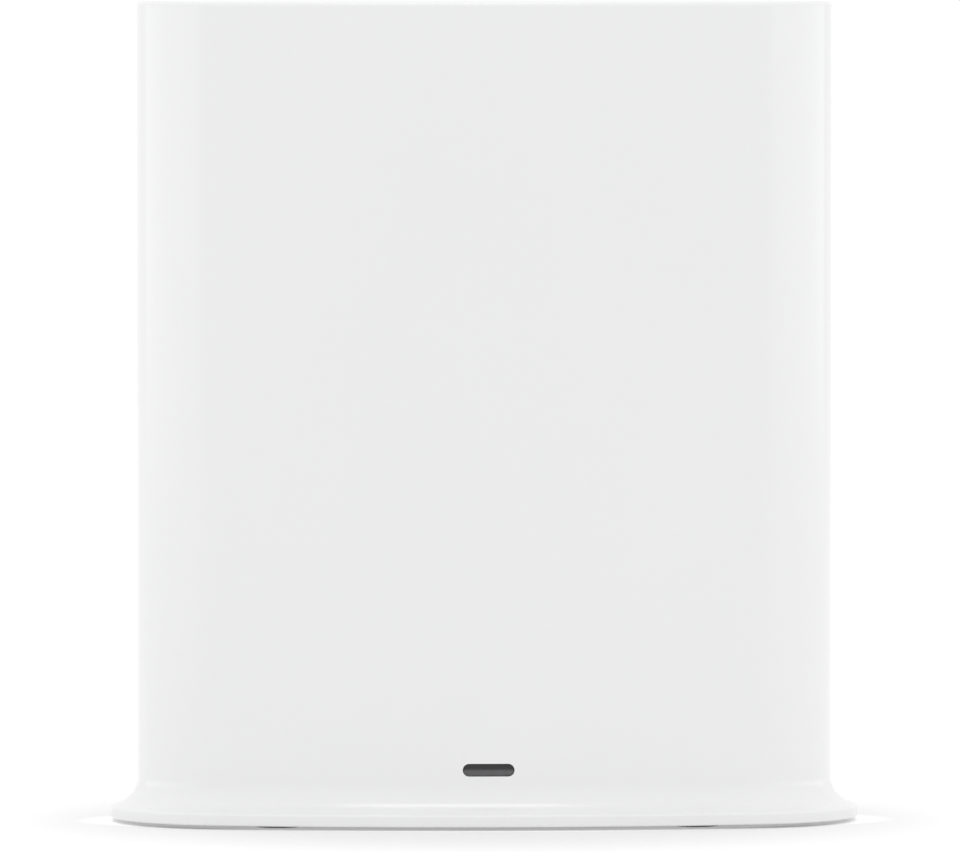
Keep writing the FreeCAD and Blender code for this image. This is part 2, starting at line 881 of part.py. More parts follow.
def make_port_board():
    """The level board that carries the sockets; its front corners are cut for the shell's round ends."""
    nose_x = port_board_half_width - port_board_nose_setback
    corners = [
        (-port_board_half_width, port_board_rear, board_corner),
        (-port_board_half_width, port_shoulder_y, board_corner),
        (-nose_x, port_board_front, board_corner),
        (nose_x, port_board_front, board_corner),
        (port_board_half_width, port_shoulder_y, board_corner),
        (port_board_half_width, port_board_rear, board_corner),
    ]
    wire = outline(corners, lambda u, v: Vector(u, v, port_board_bottom))
    board = Part.Face(wire).extrude(UP * board_thickness)
    starts = [Vector(x, y, port_board_bottom) for x, y in port_screw_places()]
    hole_radius = screw_radius + slide_gap
    return cut_by(board, [cylinder(hole_radius, start, UP, board_thickness) for start in starts])


def make_port_board_screws():
    seats = [Vector(x, y, port_board_top) for x, y in port_screw_places()]
    return Part.makeCompound([screw(seat, UP * -1, board_screw_length) for seat in seats])


def make_main_board():
    """The upright board with the processor and the radios."""
    board = rounded_plate(
        (-main_board_half_width, main_board_half_width),
        (main_board_bottom, main_board_top),
        (main_board_front, main_board_rear),
        board_corner,
    )
    starts = [Vector(x, main_board_front, z) for x, z in main_screw_places() + heat_sink_screw_places()]
    hole_radius = screw_radius + slide_gap
    return cut_by(board, [cylinder(hole_radius, start, BACK, board_thickness) for start in starts])


def make_main_board_screws():
    screws = []
    for x, z in main_screw_places():
        lug = carrier_lug if z == main_screw_high else 0
        seat = Vector(x, main_board_front - lug, z)
        screws.append(screw(seat, BACK, board_screw_length + board_thickness + lug))
    return Part.makeCompound(screws)


# Sockets in the port bay


def port_block(name, width, length, height):
    """A block on the port board that is centred on a port and ends flush with the floor of the bay."""
    x = ports[name]
    depth = (bay_floor_y - length, bay_floor_y)
    return box((x - width / 2, x + width / 2), depth, (port_board_top, port_board_top + height))


def make_power_jack():
    """The moulded power socket, with its round mouth."""
    body = port_block("power", power_jack_width, power_jack_length, power_jack_height)
    mouth_z = port_board_top + power_bore_height
    bore_start = Vector(ports["power"], bay_floor_y - power_bore_depth, mouth_z)
    bore = cylinder(power_bore_radius, bore_start, BACK, power_bore_depth)
    pin_hole = cylinder(power_root_radius, bore_start - BACK * power_pin_root, BACK, power_pin_root)
    return cut_by(body, [bore, pin_hole])


def make_power_pin():
    """The centre pin of the power socket, with a thinner root in the moulding."""
    start = Vector(ports["power"], bay_floor_y - power_bore_depth, port_board_top + power_bore_height)
    pin = cylinder(power_pin_radius, start, BACK, power_pin_length)
    pin = pin.makeChamfer(power_pin_edge, [edge_furthest(pin, BACK)])
    return pin.fuse(cylinder(power_root_radius, start, BACK * -1, power_pin_root))


def make_power_spring():
    """The leaf contact at the side of the power socket's bore."""
    z = port_board_top + power_bore_height
    root_y = bay_floor_y - power_bore_depth
    side = ports["power"] + power_bore_radius
    span = (side - power_spring_gap - power_spring_thickness, side - power_spring_gap)
    half_width = power_spring_width / 2
    return box(span, (root_y, root_y + power_spring_length), (z - half_width, z + half_width))


def lan_mouth():
    """The keyed opening of the network socket."""
    x = ports["lan"]
    low = port_board_top + lan_mouth_lift
    depth = (bay_floor_y - lan_mouth_depth, bay_floor_y)
    half = lan_mouth_width / 2
    key = lan_key_width / 2
    latch = lan_latch_width / 2
    mouth = box((x - half, x + half), depth, (low, low + lan_mouth_height))
    key_step = box((x - key, x + key), depth, (low - lan_key_height, low))
    latch_step = box((x - latch, x + latch), depth, (low - 2 * lan_key_height, low))
    return fused([mouth, key_step, latch_step])


def lan_light_blocks(trim):
    """The two small lights above the mouth of the network socket."""
    top = port_board_top + lan_jack_height - lan_light_inset
    blocks = []
    for side in (-1, 1):
        outer = ports["lan"] + side * (lan_jack_width / 2 - lan_light_inset)
        inner = outer - side * lan_light_width
        depth = (bay_floor_y - lan_light_length, bay_floor_y - trim)
        blocks.append(box((outer, inner), depth, (top - lan_light_height, top)))
    return blocks


def make_lan_jack():
    """The shielded network socket, with its keyed mouth and seats for two lights."""
    body = port_block("lan", lan_jack_width, lan_jack_length, lan_jack_height)
    return cut_by(body, [lan_mouth(), *lan_light_blocks(0)])


def make_lan_lights():
    return Part.makeCompound(lan_light_blocks(screw_gap))


def make_lan_contacts():
    """Eight sprung wires that lean down from the top of the network socket's mouth."""
    ceiling = port_board_top + lan_mouth_lift + lan_mouth_height
    front_y = bay_floor_y - lan_contact_setback
    tail_y = bay_floor_y - lan_mouth_depth
    corners = [
        (front_y, ceiling, 0),
        (tail_y, ceiling - lan_contact_drop, 0),
        (tail_y, ceiling - lan_contact_drop - lan_contact_size, 0),
        (front_y + lan_contact_root, ceiling - lan_contact_size, 0),
        (front_y + lan_contact_root, ceiling, 0),
    ]
    wires = []
    for offset in centred(lan_contact_count, lan_contact_pitch):
        x = ports["lan"] + offset - lan_contact_size / 2
        wire = outline(corners, lambda u, v: Vector(x, u, v))
        wires.append(Part.Face(wire).extrude(RIGHT * lan_contact_size))
    return Part.makeCompound(wires)


def usb_box(trim, depth):
    """The outline of the USB socket, made smaller by trim on each side."""
    half = usb_width / 2 - trim
    span = (ports["usb"] - half, ports["usb"] + half)
    return box(span, depth, (port_board_top + trim, port_board_top + usb_height - trim))


def make_usb_shell():
    """The folded metal shell of the USB socket, with two spring windows in its top."""
    depth = (bay_floor_y - usb_length, bay_floor_y)
    top = port_board_top + usb_height
    tools = [usb_box(usb_shell_wall, depth)]
    for offset in centred(2, usb_width / 2):
        span = (ports["usb"] + offset - usb_window_width / 2, ports["usb"] + offset + usb_window_width / 2)
        window_y = (bay_floor_y - usb_window_setback - usb_window_length, bay_floor_y - usb_window_setback)
        tools.append(box(span, window_y, (top - usb_shell_wall, top)))
    return cut_by(usb_box(0, depth), tools)


def usb_tongue_heights():
    top = port_board_top + usb_height - usb_shell_wall - usb_tongue_drop
    return (top - usb_tongue_thickness, top)


def make_usb_tongue():
    """The moulded insulator of the USB socket: a block at the back, and the tongue above the contacts."""
    rear_end = bay_floor_y - usb_length
    block = usb_box(usb_shell_wall, (rear_end, rear_end + usb_block_length))
    half = usb_tongue_width / 2
    span = (ports["usb"] - half, ports["usb"] + half)
    return fused([block, box(span, (rear_end, bay_floor_y - usb_tongue_setback), usb_tongue_heights())])


def make_usb_contacts():
    """Four gold strips on the underside of the tongue."""
    low = usb_tongue_heights()[0]
    depth = (bay_floor_y - usb_length + usb_block_length, bay_floor_y - usb_contact_setback)
    strips = []
    for offset in usb_contact_offsets:
        span = (ports["usb"] + offset - usb_contact_width / 2, ports["usb"] + offset + usb_contact_width / 2)
        strips.append(box(span, depth, (low - usb_contact_thickness, low)))
    return Part.makeCompound(strips)


def card_roof():
    """The underside of the card socket's metal cover."""
    return port_board_top + card_socket_height - card_cover_thickness


def card_back():
    """Where the card's slot ends inside the socket."""
    return bay_floor_y - card_socket_length + card_back_wall


def make_card_socket():
    """The moulded base of the memory card socket, with the card's slot and the channel of the slider."""
    width = card_socket_width - 2 * card_cover_thickness
    base = port_block("card", width, card_socket_length, card_roof() - port_board_top)
    half = card_slot_width / 2
    heights = (card_roof() - card_slot_height, card_roof())
    slot = box((ports["card"] - half, ports["card"] + half), (card_back(), bay_floor_y), heights)
    channel_x = (ports["card"] + half, ports["card"] + half + card_channel_width)
    channel_end = card_back() + card_slider_length + card_travel + 2 * seam_gap
    return cut_by(base, [slot, box(channel_x, (card_back(), channel_end), heights)])


def make_card_slider():
    """The slider that the card pushes in: an arm in the channel, and a foot across the end of the slot."""
    side = ports["card"] + card_slot_width / 2
    rear_end = card_back() + card_travel + seam_gap
    heights = (card_roof() - card_slot_height + 2 * screw_gap, card_roof() - 2 * screw_gap)
    arm_x = (side + screw_gap, side + card_channel_width - screw_gap)
    arm = box(arm_x, (rear_end, rear_end + card_slider_length), heights)
    foot = box((side - card_foot_reach, side + screw_gap), (rear_end, rear_end + card_foot_width), heights)
    return fused([arm, foot])


def make_card_cover():
    """The folded metal cover over the memory card socket."""
    outer = port_block("card", card_socket_width, card_socket_length, card_socket_height)
    width = card_socket_width - 2 * card_cover_thickness
    return outer.cut(port_block("card", width, card_socket_length, card_roof() - port_board_top))


def reset_axis(y):
    return Vector(ports["reset"], y, port_board_top + reset_stem_height)


def make_reset_switch():
    """The side-acting switch behind the reset hole."""
    face_y = bay_inside_y - reset_stem_reach
    half = reset_switch_width / 2
    span = (ports["reset"] - half, ports["reset"] + half)
    depth = (face_y - reset_switch_length, face_y)
    body = box(span, depth, (port_board_top, port_board_top + reset_switch_height))
    bore_start = reset_axis(face_y - reset_switch_length + switch_floor)
    return body.cut(cylinder(reset_stem_radius + stem_gap, bore_start, BACK, reset_switch_length))


def make_reset_stem():
    face_y = bay_inside_y - reset_stem_reach
    start = reset_axis(face_y - reset_switch_length + switch_floor + reset_travel + seam_gap)
    stem = cylinder(reset_stem_radius, start, BACK, bay_inside_y - seam_gap - start.y)
    return stem.makeChamfer(stem_edge, [edge_furthest(stem, BACK)])


# Pairing button and the switch behind it


def make_sync_button():
    """The round key on the back, with a flange inside the panel and a stalk to the switch."""
    face = Vector(0, rear_y + sync_button_proud, sync_height)
    cap = cylinder(sync_button_radius, face, BACK * -1, face.y - sync_flange_top)
    cap = cap.makeChamfer(sync_button_edge, [edge_furthest(cap, BACK)])
    flange_start = Vector(0, sync_flange_top - sync_flange_thickness, sync_height)
    flange = cylinder(sync_button_radius + sync_flange_reach, flange_start, BACK, sync_flange_thickness)
    stalk_start = Vector(0, sync_stem_tip, sync_height)
    stalk = cylinder(sync_stalk_radius, stalk_start, BACK, flange_start.y - sync_stem_tip)
    dish_radius = (sync_dish_width**2 / 4 + sync_dish_depth**2) / (2 * sync_dish_depth)
    dish = Part.makeSphere(dish_radius, face + BACK * (dish_radius - sync_dish_depth))
    return fused([cap, flange, stalk]).cut(dish)


def make_sync_switch():
    """The square push switch on the back of the main board."""
    half = sync_switch_size / 2
    heights = (sync_height - half, sync_height + half)
    body = box((-half, half), (main_board_rear, main_board_rear + sync_switch_height), heights)
    bore_start = Vector(0, main_board_rear + switch_floor, sync_height)
    return body.cut(cylinder(sync_stem_radius + stem_gap, bore_start, BACK, sync_switch_height))


def make_sync_stem():
    start = Vector(0, main_board_rear + switch_floor + sync_travel + seam_gap, sync_height)
    stem = cylinder(sync_stem_radius, start, BACK, sync_stem_tip - start.y)
    return stem.makeChamfer(stem_edge, [edge_furthest(stem, BACK)])


# Processor, heat sink and other parts on the main board


def heat_sink_leg_places():
    side = heat_sink_half_width - heat_sink_leg_inset
    heights = (heat_sink_bottom + heat_sink_leg_inset, heat_sink_top - heat_sink_leg_inset)
    return [(x, z) for x in (-side, side) for z in heights]


def heat_sink_screw_places():
    """Two of the legs, on one diagonal, take a screw."""
    places = heat_sink_leg_places()
    return [places[0], places[-1]]


def front_chip(x, z, width, height, thickness):
    """A chip on the front face of the main board, centred at x and z."""
    depth = (main_board_front - thickness, main_board_front)
    return box((x - width / 2, x + width / 2), depth, (z - height / 2, z + height / 2))


def make_main_processor():
    return front_chip(0, chip_height, processor_size, processor_size, processor_thickness)


def make_thermal_pad():
    half = processor_size / 2 - thermal_pad_margin
    depth = (heat_sink_rear, main_board_front - processor_thickness)
    return box((-half, half), depth, (chip_height - half, chip_height + half))


def make_memory_chips():
    places = centred(2, 2 * memory_offset)
    chips = [front_chip(x, chip_height, memory_width, memory_length, memory_thickness) for x in places]
    return Part.makeCompound(chips)


def make_flash_chip():
    z = chip_height - processor_size / 2 - part_gap - flash_size / 2
    return front_chip(memory_offset, z, flash_size, flash_size, flash_thickness)


def make_crystal():
    z = chip_height - processor_size / 2 - part_gap
    return front_chip(0, z, crystal_width, crystal_length, crystal_thickness)


def make_heat_sink():
    """The finned aluminium plate over the processor, on four legs."""
    half = heat_sink_half_width
    depth = (heat_sink_front, heat_sink_rear)
    pieces = [rounded_plate((-half, half), (heat_sink_bottom, heat_sink_top), depth, board_corner)]
    pitch = (2 * half - fin_thickness) / (fin_count - 1)
    for x in centred(fin_count, pitch):
        spread = (x - fin_thickness / 2, x + fin_thickness / 2)
        heights = (heat_sink_bottom + fin_end_gap, heat_sink_top - fin_end_gap)
        pieces.append(box(spread, (heat_sink_front - fin_height, heat_sink_front), heights))
    for x, z in heat_sink_leg_places():
        leg_start = Vector(x, heat_sink_rear, z)
        pieces.append(cylinder(heat_sink_leg_radius, leg_start, BACK, heat_sink_leg_height))
    pilot = heat_sink_screw_length - board_thickness + pilot_spare
    holes = []
    for x, z in heat_sink_screw_places():
        holes.append(cylinder(screw_radius + screw_gap, Vector(x, main_board_front, z), BACK * -1, pilot))
    return cut_by(fused(pieces), holes)


def make_heat_sink_screws():
    seats = [Vector(x, main_board_rear, z) for x, z in heat_sink_screw_places()]
    return Part.makeCompound([screw(seat, BACK * -1, heat_sink_screw_length) for seat in seats])


def make_radio_shields():
    """Two pressed metal lids over the radio circuits."""
    lids = []
    for x in centred(2, shield_spacing):
        lid = front_chip(x, shield_z, shield_width, shield_height, shield_depth)
        width = shield_width - 2 * shield_metal
        height = shield_height - 2 * shield_metal
        lids.append(lid.cut(front_chip(x, shield_z, width, height, shield_depth - shield_metal)))
    return Part.makeCompound(lids)


# Antennas on a bow round the main board, and their leads


def make_antenna_carrier():
    """The plastic bow that holds three antennas, with two lugs under the board's upper screws."""
    depth = (main_board_front - carrier_depth, main_board_front)
    bar_x = (-carrier_half_width, carrier_half_width)
    leg_x = (carrier_half_width - carrier_bar, carrier_half_width)
    bar = box(bar_x, depth, (carrier_top - carrier_bar, carrier_top))
    leg = box(leg_x, depth, (carrier_top - carrier_leg_length, carrier_top))
    pieces = [bar, *both_sides(leg)]
    holes = []
    lug_y = main_board_front - carrier_lug
    for x in centred(2, 2 * main_screw_x):
        strap_x = (x - panel_boss_radius, x + panel_boss_radius)
        eye = Vector(x, lug_y, main_screw_high)
        pieces.append(box(strap_x, (lug_y, main_board_front), (main_screw_high, carrier_top)))
        pieces.append(cylinder(panel_boss_radius, eye, BACK, carrier_lug))
        holes.append(cylinder(screw_radius + slide_gap, eye, BACK, carrier_lug))
    return cut_by(fused(pieces), holes)


def antenna_depth():
    middle = main_board_front - carrier_depth / 2
    return (middle - antenna_width / 2, middle + antenna_width / 2)


def make_antenna_right():
    """The antenna strip on the inner face of the bow's right leg."""
    x = carrier_half_width - carrier_bar
    low = carrier_top - carrier_leg_length
    return box((x - antenna_thickness, x), antenna_depth(), (low, low + antenna_length))


def make_antenna_left():
    return both_sides(make_antenna_right())[1]


def make_antenna_top():
    """The antenna strip on the underside of the bow's bar, between the two lugs."""
    half = top_antenna_length / 2
    low = carrier_top - carrier_bar - antenna_thickness
    return box((-half, half), antenna_depth(), (low, low + antenna_thickness))


def coax_plug_places():
    """The side plugs lie under the legs of the bow, and the third lies at the top edge of the board."""
    side_x = main_board_half_width - coax_plug_inset
    side_z = carrier_top - carrier_leg_length - lead_rise
    top_z = main_board_top - coax_plug_inset
    return {"left": (-side_x, side_z), "right": (side_x, side_z), "top": (top_plug_x, top_z)}


def make_coax_plugs():
    """The three snap-on plugs of the antenna leads, on the front of the main board."""
    plugs = []
    for x, z in coax_plug_places().values():
        start = Vector(x, main_board_front, z)
        plugs.append(cylinder(coax_plug_radius, start, BACK * -1, coax_plug_height))
    return Part.makeCompound(plugs)


def make_antenna_leads():
    """Three thin coaxial leads, each drawn straight from its plug to the end of its antenna."""
    lead_y = main_board_front - coax_plug_height / 2
    end_x = carrier_half_width - carrier_bar - antenna_thickness - lead_radius
    places = coax_plug_places()
    plug = Vector(places["right"][0], lead_y, places["right"][1])
    feed = Vector(end_x, lead_y - lead_radius, carrier_top - carrier_leg_length + antenna_feed)
    run = (feed - plug).normalize()
    start = plug + run * (coax_plug_radius + screw_gap)
    side_lead = cylinder(lead_radius, start, run, (feed - start).Length)
    top_x, top_z = places["top"]
    top_start = Vector(top_x, lead_y, top_z + coax_plug_radius)
    top_end = carrier_top - carrier_bar - antenna_thickness
    top_lead = cylinder(lead_radius, top_start, UP, top_end - top_start.z)
    return Part.makeCompound([*both_sides(side_lead), top_lead])


# Ribbon between the boards, and the parts of the power supply


def ribbon_ends():
    """Where the ribbon enters each socket: y and z on the port board, then on the main board."""
    low_y = bay_floor_y - lan_jack_length - part_gap
    high_y = main_board_front - ribbon_socket_height / 2
    return low_y, port_board_top + ribbon_socket_height, high_y, main_board_bottom + ribbon_socket_inset


def make_ribbon_sockets():
    """The two flat sockets that the ribbon plugs into."""
    low_y, low_z, high_y, high_z = ribbon_ends()
    half = ribbon_width / 2 + ribbon_socket_wall
    slit = ribbon_width / 2 + slide_gap
    thick = ribbon_thickness / 2 + screw_gap
    span = (ports["card"] - half, ports["card"] + half)
    slit_span = (ports["card"] - slit, ports["card"] + slit)
    low_depth = (low_y - ribbon_socket_length / 2, low_y + ribbon_socket_length / 2)
    low = box(span, low_depth, (port_board_top, low_z))
    low = low.cut(box(slit_span, (low_y - thick, low_y + thick), (low_z - ribbon_entry, low_z)))
    high_depth = (main_board_front - ribbon_socket_height, main_board_front)
    high = box(span, high_depth, (high_z, high_z + ribbon_socket_length))
    high = high.cut(box(slit_span, (high_y - thick, high_y + thick), (high_z, high_z + ribbon_entry)))
    return Part.makeCompound([low, high])


def make_ribbon_cable():
    """The flat cable from the port board up to the main board, swept along straight runs and arcs."""
    low_y, low_z, high_y, high_z = ribbon_ends()
    bend_z = (low_z + high_z) / 2
    points = [
        Vector(ports["card"], low_y, low_z - ribbon_entry),
        Vector(ports["card"], low_y, bend_z - ribbon_slack),
        Vector(ports["card"], high_y, bend_z + ribbon_slack),
        Vector(ports["card"], high_y, high_z + ribbon_entry),
    ]
    edges = []
    last = points[0]
    for before, corner, after in zip(points, points[1:], points[2:]):
        start, middle, end = rounded_corner(before, corner, after, ribbon_bend_radius)
        edges.append(Part.makeLine(last, start))
        edges.append(Part.Arc(start, middle, end).toShape())
        last = end
    edges.append(Part.makeLine(last, points[-1]))
    half = ribbon_width / 2
    thick = ribbon_thickness / 2
    corners = [(-half, -thick, 0), (half, -thick, 0), (half, thick, 0), (-half, thick, 0)]
    section = outline(corners, lambda u, v: points[0] + RIGHT * u + BACK * v)
    return Part.Wire(edges).makePipeShell([section], True, False)


def port_board_block(x, y, width, length, height):
    """A block on the port board, centred at x and y."""
    depth = (y - length / 2, y + length / 2)
    return box((x - width / 2, x + width / 2), depth, (port_board_top, port_board_top + height))


def make_lan_transformer():
    y = bay_floor_y - lan_jack_length - part_gap - transformer_length / 2
    return port_board_block(ports["lan"], y, transformer_width, transformer_length, transformer_height)


def make_capacitors():
    """Two round capacitors on square feet, in front of the power jack."""
    cans = []
    for row in range(capacitor_count):
        y = bay_floor_y - power_jack_length - (row + 0.5) * capacitor_pitch
        size = 2 * capacitor_radius
        foot = port_board_block(ports["power"], y, size, size, capacitor_foot)
        start = Vector(ports["power"], y, port_board_top + capacitor_foot)
        can = cylinder(capacitor_radius, start, UP, capacitor_height - capacitor_foot)
        cans.append(foot.fuse(can.makeChamfer(capacitor_edge, [edge_furthest(can, UP)])))
    return Part.makeCompound(cans)


def make_power_inductor():
    return port_board_block(ports["usb"], ribbon_ends()[0], inductor_size, inductor_size, inductor_height)


makers = {
    "outer_shell": make_outer_shell,
    "rear_panel": make_rear_panel,
    "bottom_cover": make_bottom_cover,
    "rubber_feet": make_rubber_feet,
    "cover_screws": make_cover_screws,
    "light_pipe": make_light_pipe,
    "light_shroud": make_light_shroud,
    "status_led": make_status_led,
    "port_board": make_port_board,
    "port_board_screws": make_port_board_screws,
    "main_board": make_main_board,
    "main_board_screws": make_main_board_screws,
    "power_jack": make_power_jack,
    "power_pin": make_power_pin,
    "power_spring": make_power_spring,
    "lan_jack": make_lan_jack,
    "lan_lights": make_lan_lights,
    "lan_contacts": make_lan_contacts,
    "lan_transformer": make_lan_transformer,
    "usb_shell": make_usb_shell,
    "usb_tongue": make_usb_tongue,
    "usb_contacts": make_usb_contacts,
    "card_socket": make_card_socket,
    "card_slider": make_card_slider,
    "card_cover": make_card_cover,
    "reset_switch": make_reset_switch,
    "reset_stem": make_reset_stem,
    "sync_button": make_sync_button,
    "sync_switch": make_sync_switch,
    "sync_stem": make_sync_stem,
    "main_processor": make_main_processor,
    "thermal_pad": make_thermal_pad,
    "memory_chips": make_memory_chips,
    "flash_chip": make_flash_chip,
    "crystal": make_crystal,
    "heat_sink": make_heat_sink,
    "heat_sink_screws": make_heat_sink_screws,
    "radio_shields": make_radio_shields,
    "antenna_carrier": make_antenna_carrier,
    "antenna_right": make_antenna_right,
    "antenna_left": make_antenna_left,
    "antenna_top": make_antenna_top,
    "coax_plugs": make_coax_plugs,
    "antenna_leads": make_antenna_leads,
    "ribbon_sockets": make_ribbon_sockets,
    "ribbon_cable": make_ribbon_cable,
    "capacitors": make_capacitors,
    "power_inductor": make_power_inductor,
}

os.makedirs("parts", exist_ok=True)
for name, make in makers.items():
    shape = make()
    shape.exportStep(f"parts/{name}.step")
    print(f"{name}: {len(shape.Solids)} solids, {shape.Volume:.1f} mm3, valid {shape.isValid()}")
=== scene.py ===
"""The looks of a security camera base station, in metres: a gloss white upright hub on a flared foot."""

import json
import math

import bmesh
import bpy
from mathutils import Matrix, Vector


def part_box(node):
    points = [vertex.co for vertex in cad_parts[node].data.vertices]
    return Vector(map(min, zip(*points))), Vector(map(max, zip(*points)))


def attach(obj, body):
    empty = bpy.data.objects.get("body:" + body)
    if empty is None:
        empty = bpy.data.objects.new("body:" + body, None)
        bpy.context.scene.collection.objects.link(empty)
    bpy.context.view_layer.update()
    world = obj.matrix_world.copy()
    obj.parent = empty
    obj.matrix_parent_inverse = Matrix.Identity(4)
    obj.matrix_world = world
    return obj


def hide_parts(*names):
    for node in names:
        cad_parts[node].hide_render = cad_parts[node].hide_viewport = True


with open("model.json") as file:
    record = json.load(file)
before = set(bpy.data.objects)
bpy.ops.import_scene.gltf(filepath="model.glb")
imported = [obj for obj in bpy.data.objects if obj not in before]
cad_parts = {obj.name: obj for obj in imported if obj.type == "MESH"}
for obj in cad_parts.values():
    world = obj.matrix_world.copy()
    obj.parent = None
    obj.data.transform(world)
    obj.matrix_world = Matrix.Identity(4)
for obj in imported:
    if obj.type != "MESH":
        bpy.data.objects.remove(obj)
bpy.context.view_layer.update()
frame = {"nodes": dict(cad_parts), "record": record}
mm = 0.001

# Outer shell. The real piece is one ABS moulding, polished white, with the top, the walls and the
# flared foot in one. Its plan is an oval of four arcs, so one section is spun round each arc in turn.
# The back window has a rebate that takes the back panel, and a slot low on the front takes the lens.

shell_low, shell_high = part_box("outer_shell")
foot_half_width = shell_high.x
foot_half_depth = shell_high.y
foot_end_radius = 24.4 * mm
rim_level = shell_low.z
top_level = shell_high.z
rim_edge = 0.3 * mm
edge_level = rim_level + 2.1 * mm
lip_radius = 0.45 * mm
flare_reach = 4.9 * mm
flare_radius = 5.3 * mm
flare_degrees = 20
flare_slope = math.radians(flare_degrees)
top_edge = 0.8 * mm
shell_wall = 2.4 * mm
rim_wall = 2.6 * mm
ledge_level = rim_level + 1.5 * mm
middle_inset = 9.7 * mm
end_centre_x = foot_half_width - foot_end_radius
side_rise = foot_half_depth - foot_end_radius
side_radius = (end_centre_x**2 + foot_half_depth**2 - foot_end_radius**2) / (2 * side_rise)
side_centre_y = side_radius - foot_half_depth
end_turn = math.atan2(side_centre_y, end_centre_x)
end_steps = 40
side_steps = 28
spin_weld = 0.002 * mm


def section_point(inset, level):
    """A point of the section, in the plane of the first arc's start; inset is from the foot's rim."""
    spoke = Vector((math.cos(-end_turn), math.sin(-end_turn), 0))
    return Vector((end_centre_x, 0, level)) + spoke * (foot_end_radius - inset)


def straight_to(bm, tip, inset, level):
    """Draws the section straight on from its tip and returns the new tip."""
    made = bmesh.ops.extrude_vert_indiv(bm, verts=[tip])["verts"][0]
    made.co = section_point(inset, level)
    return made


def round_to(bm, tip, inset, level, degrees, steps):
    """Turns the section's tip about a centre at inset and level; a positive turn leans it inwards."""
    across = Vector((math.sin(-end_turn), -math.cos(-end_turn), 0))
    turned = bmesh.ops.spin(
        bm,
        geom=[tip],
        cent=section_point(inset, level),
        axis=across,
        angle=math.radians(degrees),
        steps=steps,
    )
    return next(part for part in turned["geom_last"] if isinstance(part, bmesh.types.BMVert))


def spin_round_oval(bm, section):
    """Sweeps a section of edges round the four arcs of the oval and closes it on itself."""
    geometry = list(section)
    arcs = [
        (Vector((end_centre_x, 0, 0)), 2 * end_turn, end_steps),
        (Vector((0, -side_centre_y, 0)), math.pi - 2 * end_turn, side_steps),
        (Vector((-end_centre_x, 0, 0)), 2 * end_turn, end_steps),
        (Vector((0, side_centre_y, 0)), math.pi - 2 * end_turn, side_steps),
    ]
    for centre, sweep, steps in arcs:
        swept = bmesh.ops.spin(bm, geom=geometry, cent=centre, axis=(0, 0, 1), angle=sweep, steps=steps)
        geometry = swept["geom_last"]
    bmesh.ops.remove_doubles(bm, verts=bm.verts[:], dist=spin_weld)


def shell_section(bm):
    """The outer skin from the middle of the top down to the rim, and the inner skin back up.

    Both ends stop at middle_inset, and a flat face closes each once the section is swept. The short
    straight stretches beside the top edge and the flare keep the shading of the walls even.
    """
    bend = 90 - flare_degrees
    bend_level = edge_level + flare_reach * math.tan(flare_slope)
    half_corner = math.radians(90 + flare_degrees) / 2
    tangent = flare_radius / math.tan(half_corner)
    lip_tangent = lip_radius / math.tan(half_corner)
    lip_start = edge_level + lip_tangent * math.sin(flare_slope)
    tip = bm.verts.new(section_point(middle_inset, top_level))
    tip = straight_to(bm, tip, flare_reach + top_edge, top_level)
    tip = round_to(bm, tip, flare_reach + top_edge, top_level - top_edge, -90, steps=8)
    tip = straight_to(bm, tip, flare_reach, top_level - 2 * top_edge)
    tip = straight_to(bm, tip, flare_reach, bend_level + tangent + top_edge)
    tip = straight_to(bm, tip, flare_reach, bend_level + tangent)
    tip = round_to(bm, tip, flare_reach - flare_radius, bend_level + tangent, bend, steps=20)
    tip = straight_to(bm, tip, lip_tangent * math.cos(flare_slope), lip_start)
    tip = round_to(bm, tip, lip_radius, edge_level - lip_tangent, -bend, steps=6)
    tip = straight_to(bm, tip, 0, rim_level + rim_edge)
    tip = round_to(bm, tip, rim_edge, rim_level + rim_edge, -90, steps=4)
    tip = straight_to(bm, tip, rim_wall, rim_level)
    tip = straight_to(bm, tip, rim_wall, ledge_level)
    inner_inset = flare_reach + shell_wall
    tip = straight_to(bm, tip, inner_inset + shell_wall, ledge_level)
    tip = straight_to(bm, tip, inner_inset, bend_level + tangent)
    tip = straight_to(bm, tip, inner_inset, top_level - shell_wall)
    straight_to(bm, tip, middle_inset, top_level - shell_wall)


def finished_piece(name, bm, material, body="hub", replaced=(), sharp_degrees=35):
    """Turns a mesh under construction into a piece that rides on its body in the given finish."""
    bmesh.ops.recalc_face_normals(bm, faces=bm.faces[:])
    for face in bm.faces:
        face.smooth = True
    for edge in bm.edges:
        edge.smooth = len(edge.link_faces) != 2 or edge.calc_face_angle(0) < math.radians(sharp_degrees)
    mesh = bpy.data.meshes.new(name)
    bm.to_mesh(mesh)
    bm.free()
    piece = bpy.data.objects.new(name, mesh)
    bpy.context.scene.collection.objects.link(piece)
    mesh.materials.append(material)
    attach(piece, body)
    if replaced:
        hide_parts(*replaced)
    return piece


def even_shading(piece):
    """Lets the large faces set the shading at the edge of a small rounding."""
    even = piece.modifiers.new("even shading", "WEIGHTED_NORMAL")
    even.keep_sharp = True


class Shade:
    """A value in a material; operators on it add Math nodes to the same material."""

    def __init__(self, finish, socket):
        self.finish = finish
        self.socket = socket

    def math(self, operation, *terms):
        inputs = dict(enumerate(terms))
        return self.finish.node("ShaderNodeMath", {"operation": operation}, inputs)

    def __add__(self, other):
        return self.math("ADD", self, other)

    def __radd__(self, other):
        return self.math("ADD", other, self)

    def __sub__(self, other):
        return self.math("SUBTRACT", self, other)

    def __rsub__(self, other):
        return self.math("SUBTRACT", other, self)

    def __mul__(self, other):
        return self.math("MULTIPLY", self, other)

    def __rmul__(self, other):
        return self.math("MULTIPLY", other, self)


